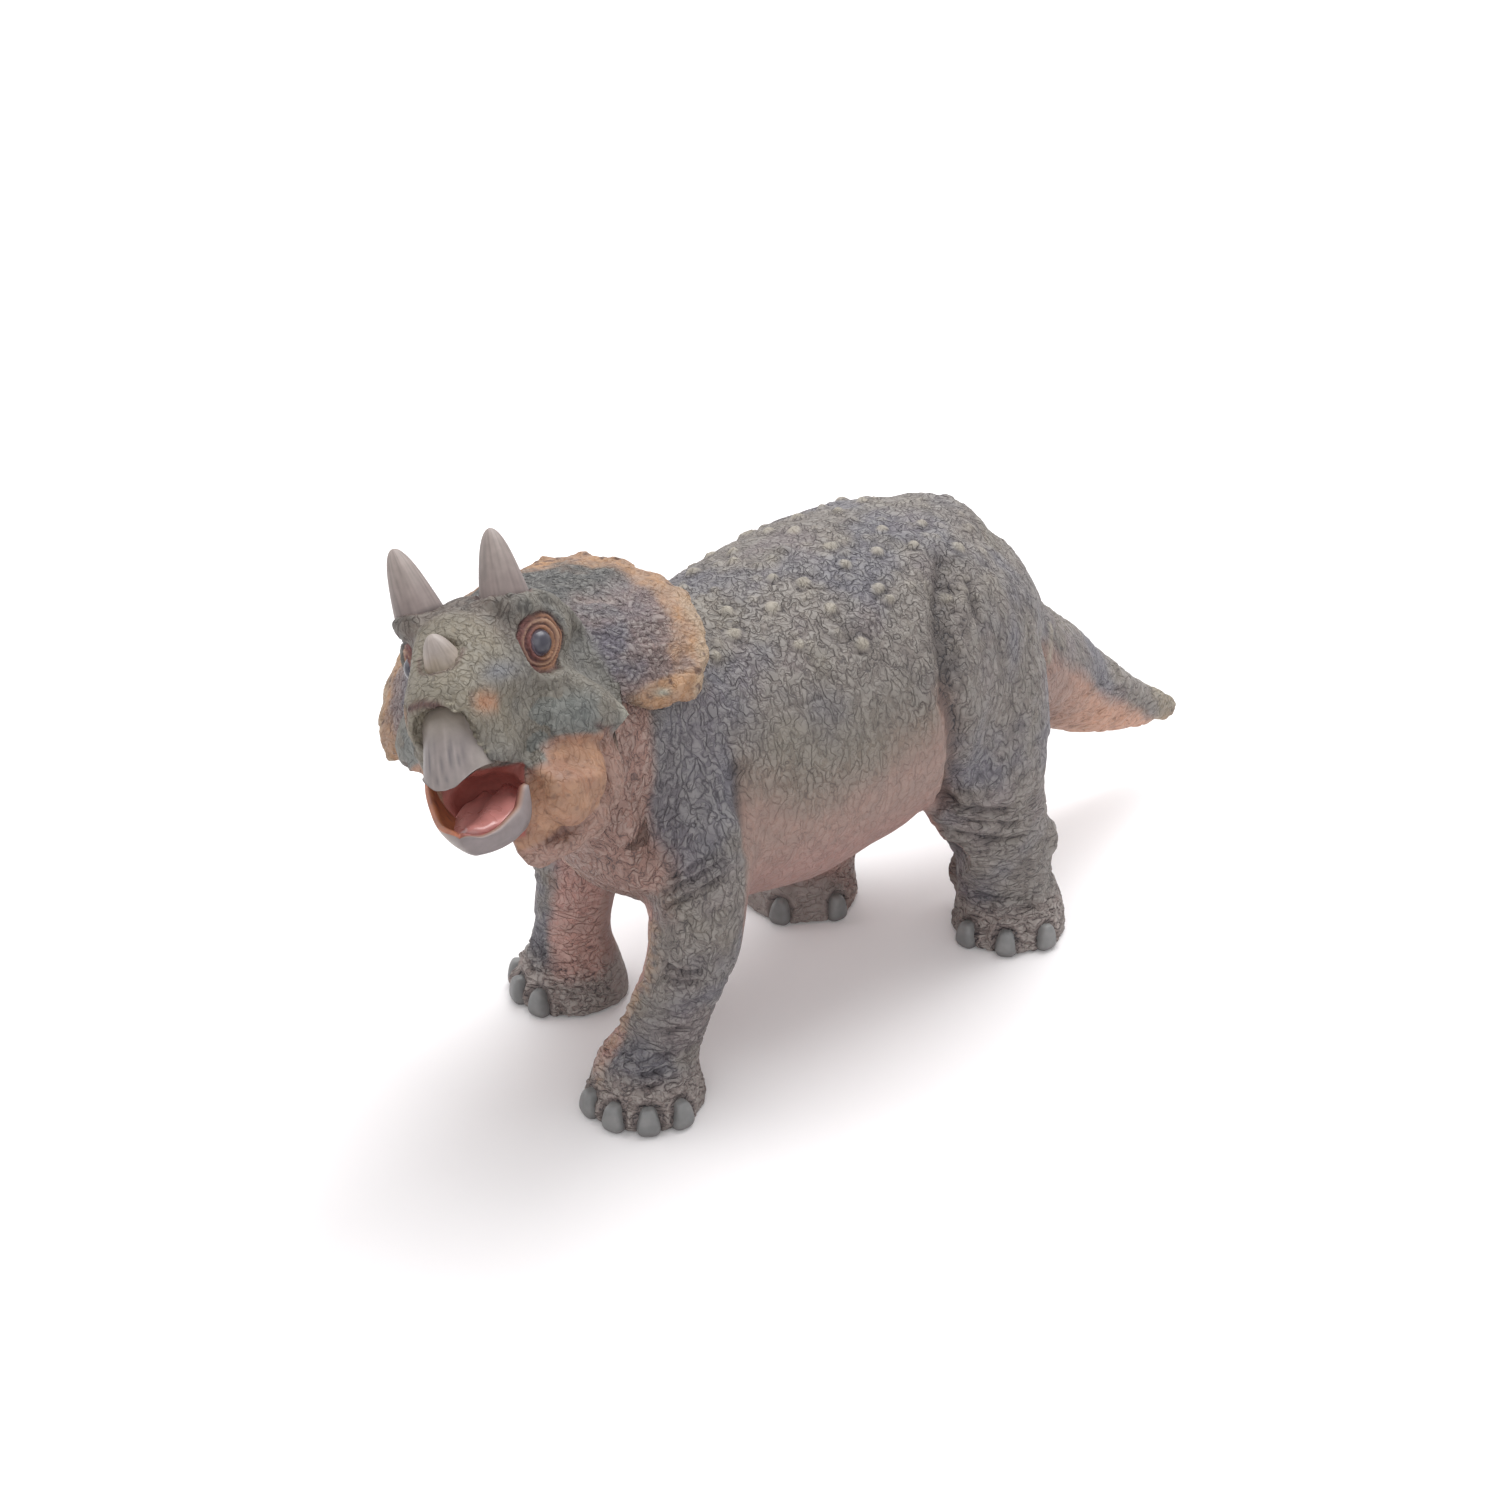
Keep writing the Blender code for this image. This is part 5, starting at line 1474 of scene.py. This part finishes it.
def painted(mesh, paint, material, node_name, name=None, place=None):
    """A piece from a mesh in the head's frame, or in the one given, coloured by its places there"""
    flat = np.empty(len(mesh.vertices) * 3)
    mesh.vertices.foreach_get("co", flat)
    tone, relief = paint(flat.reshape(-1, 3))
    mesh.transform(place or head_matrix() @ Matrix.Scale(mm, 4))
    set_layer(mesh, "paint", tone)
    set_layer(mesh, "relief", relief)
    mesh.shade_smooth()
    mesh.materials.append(material)
    piece = make_object(name or mesh.name, mesh)
    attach(piece, "root")
    if node_name:
        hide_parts(node_name)
    return piece


def horn_paint(foot, tip, seed, low, high):
    """Paint for a horn, from one colour at its foot to another at its tip, with lines along it"""
    foot, along = np.array(foot), np.array(tip) - np.array(foot)
    length = np.linalg.norm(along)
    along = along / length

    def paint(local):
        share = (local - foot) @ along / length
        away = (local - foot) - np.outer((local - foot) @ along, along)
        turn = away / (np.linalg.norm(away, axis=1)[:, None] + 1e-6)
        lines = noise(np.c_[turn * 3.2, share * 1.2][:, :3] + share[:, None] * 0.4, 0.42, seed)
        tone = mix(low, high, smooth(0.0, 0.8, share + 0.15 * noise(local, 1.2, seed)))
        tone = mix(tone, tone * 0.78, smooth(0.05, 0.5, lines) * 0.8)
        tone = mix(tone, tone * 1.18, smooth(0.05, 0.5, -lines) * 0.6)
        relief = smooth(-0.02, 0.09, share)
        return tone, relief

    return paint


def upper_beak_paint(local):
    side, rear, rise = local.T
    lines = noise(np.stack([side * 2.6, rise * 0.35, rear * 0.4], 1), 0.9, 6)
    tone = mix(colour(142, 132, 122), colour(130, 121, 119), smooth(-8, -11, rise))
    streak = smooth(0.05, 0.45, lines) * smooth(-9.5, -11.5, rise) * smooth(-14.0, -13.2, rise)
    streak = streak * smooth(1.9, 1.2, np.abs(side - 0.1))
    tone = mix(tone, colour(98, 92, 94), streak)
    tone = mix(tone, colour(156, 146, 142), smooth(0.1, 0.5, -lines) * 0.5)
    tone = mix(tone, colour(146, 138, 132), smooth(1.8, 2.8, np.abs(side)) * 0.6)
    return tone, smooth(0.15, 0.6, np.abs(rise + 7.2) + 0.4)


def lower_beak_paint(local):
    """Grey outside and red brown inside, told apart by a point's number in its ring"""
    side, rear, rise = local.T
    ring = beak_outside + beak_inside + 2
    number = np.arange(len(local)) % ring
    inside = (((number > beak_outside) & (number < ring - 1))
              | ((number >= beak_outside - 2) & (number <= beak_outside)))
    rim = number == ring - 1
    tone = mix(colour(127, 117, 117), colour(146, 130, 120), smooth(1.0, -2.5, side + 0.4 * noise(local, 1.5, 3)))
    tone = mix(tone, tone * 0.86, smooth(0, 0.5, noise(local, 1.1, 12)) * 0.6)
    lining = mix(colour(176, 108, 76), colour(150, 84, 78), smooth(-1.5, -0.5, side + 0.1 * rear))
    lining = mix(lining, colour(122, 70, 58), smooth(0.1, 0.5, noise(local, 0.8, 31)) * 0.6)
    tone = mix(tone, lining, inside.astype(float))
    tone = mix(tone, colour(156, 116, 96), rim * 0.8)
    return tone, np.ones(len(local))


def tongue_paint(local):
    side, rear, rise = local.T
    tone = mix(colour(208, 140, 134), colour(204, 136, 130), smooth(-3, -8.5, rear))
    # Darker along the furrow and towards the tongue's foot: painted shade
    tone = mix(tone, colour(130, 74, 74), bell(side + 0.2, 0.3) * 0.6 + smooth(-17.4, -18.3, rise) * 0.5)
    tone = mix(tone, tone * 0.8, smooth(0.1, 0.5, noise(local, 1.1, 14)) * 0.5)
    return tone, np.ones(len(local))


eye_radius = 1.22
eye_depth = 0.22


def eye_piece(side, material):
    """A glossy eyeball set behind its ring of lids, with its iris and pupil painted toward the front"""
    centre, out, fore, up = eye_frame(side)
    mesh = ball_mesh("eyeball", 48, 32, eye_radius)
    middle = centre - out * eye_depth
    mesh.transform(Matrix.Translation(middle))
    middle = np.array(middle)
    toward = np.array(out)

    def paint(local):
        cap = (local - middle) @ toward / eye_radius
        tone = mix(colour(120, 92, 84), colour(122, 114, 126), smooth(0.30, 0.42, cap))
        tone = mix(tone, colour(62, 60, 72), smooth(0.46, 0.58, cap))
        tone = mix(tone, colour(48, 46, 58), smooth(0.80, 0.90, cap))
        return tone, np.ones(len(local))

    which = "left" if side > 0 else "right"
    painted(mesh, paint, material, "eye_" + which, "eyeball_" + which)


def head_pieces():
    horn = cast_material("Painted horn", 0.75, 0.50, 0.0, (0.045, 0.035, 0.035))
    beak = cast_material("Painted beak", 0.6, 0.46, 0.05, (0.05, 0.04, 0.04))
    wet = cast_material("Painted mouth", 0.5, 0.30, 0.30, (0.08, 0.03, 0.03))
    eye = cast_material("Painted eye", 0.5, 0.30, 0.25, (0.01, 0.01, 0.01))
    pinkish, pale = colour(126, 113, 110), colour(146, 134, 129)
    for name, foot, tip, seed in (("brow_horn_left", (3.85, -0.5, 0.55), (3.8, -0.7, 6.75), 3),
                                  ("brow_horn_right", (-3.9, -0.5, 0.65), (-5.1, -0.8, 6.85), 5)):
        mesh = horn_mesh(name + "_cone", foot, tip, 2.18, seed)
        painted(mesh, horn_paint(foot, tip, seed, pinkish, pale), horn, name)
    foot, tip = (0.25, -7.2, -4.5), (-0.05, -8.5, -1.55)
    paint = horn_paint(foot, tip, 8, colour(150, 136, 120), colour(160, 149, 143))
    painted(horn_mesh("nose_horn_cone", foot, tip, 1.85, 8), paint, horn, "nose_horn")
    painted(upper_beak_mesh(), upper_beak_paint, beak, "upper_beak")
    painted(lower_beak_mesh(), lower_beak_paint, beak, "lower_beak")
    painted(tongue_mesh(), tongue_paint, wet, "tongue")
    for side in (1, -1):
        eye_piece(side, eye)
    return beak


# Light and ground

# How strongly the room lights the toy; the backdrop itself is seen as white
room_light = 0.52

# Lamps: name, place and size in metres, and watts
lamps = (("Key", (-0.08, 0.18, 0.52), 0.46, 3.2), ("Fill", (0.36, -0.38, 0.32), 0.50, 0.8),
         ("Side", (-0.42, -0.28, 0.30), 0.42, 0.5))

# Where the floor starts to glow and is white, in metres from its middle, and how strongly it glows there
glow_reach = (0.09, 0.20)
glow_strength = (0.06, 1.0)


def light_plain():
    world = bpy.data.worlds.new("Studio")
    bpy.context.scene.world = world
    world.use_nodes = True
    tree = world.node_tree
    shade = tree.nodes["Background"]
    shade.inputs["Color"].default_value = (1, 1, 1, 1)
    path = node(tree, "LightPath")
    seen = math_node(tree, "MAXIMUM", path.outputs["Is Camera Ray"],
                     math_node(tree, "MAXIMUM", path.outputs["Is Glossy Ray"], path.outputs["Is Transmission Ray"]))
    backdrop = math_node(tree, "MULTIPLY", seen, 1 - room_light)
    link(tree, math_node(tree, "ADD", backdrop, room_light), shade.inputs["Strength"])
    for name, place, size, watts in lamps:
        lamp = bpy.data.lights.new(name, "AREA")
        lamp.size = size
        lamp.energy = watts
        holder = bpy.data.objects.new(name, lamp)
        bpy.context.collection.objects.link(holder)
        holder.location = place
        holder.rotation_euler = (camera_target - holder.location).to_track_quat("-Z", "Y").to_euler()


def ground():
    bpy.ops.mesh.primitive_plane_add(size=8)
    floor = bpy.context.object
    floor.name = "floor"
    floor.location.z = -0.05 * mm
    material, tree, shader = new_material("Floor")
    shader.inputs["Base Color"].default_value = (0.92, 0.90, 0.91, 1)
    shader.inputs["Roughness"].default_value = 0.9
    place = node(tree, "TexCoord")
    away = node(tree, "VectorMath", operation="LENGTH")
    link(tree, place.outputs["Object"], away.inputs[0])
    path = node(tree, "LightPath")
    fade = ramp(tree, away.outputs["Value"], *glow_reach, *glow_strength)
    glow = math_node(tree, "MULTIPLY", fade, path.outputs["Is Camera Ray"])
    shader.inputs["Emission Color"].default_value = (1, 1, 1, 1)
    link(tree, glow, shader.inputs["Emission Strength"])
    floor.data.materials.append(material)


def set_camera():
    camera = bpy.data.cameras.new("Camera")
    camera.lens = lens_mm
    camera.sensor_width = sensor_mm
    camera.clip_start = 0.01
    holder = bpy.data.objects.new("Camera", camera)
    bpy.context.collection.objects.link(holder)
    eye, back = camera_eye()
    holder.location = eye
    holder.rotation_euler = back.to_track_quat("Z", "Y").to_euler()
    bpy.context.scene.camera = holder


def main():
    fine = wrinkle_group()
    hide = skin_material("Painted skin", fine)
    skin, layers = sculpt_body()
    for name, triangles in parted(skin, body_nodes).items():
        piece = closed_piece(name + "_skin", skin, triangles, layers, hide)
        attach(piece, "root")
        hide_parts(name)
    skin, layers = sculpt_head()
    piece = closed_piece("head_skin", skin, skin.triangles(), layers, hide)
    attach(piece, "root")
    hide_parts("skull")
    beak = head_pieces()
    nail_pieces(beak)
    set_camera()
    light_plain()
    ground()
    bpy.context.scene.view_settings.view_transform = "Standard"


main()
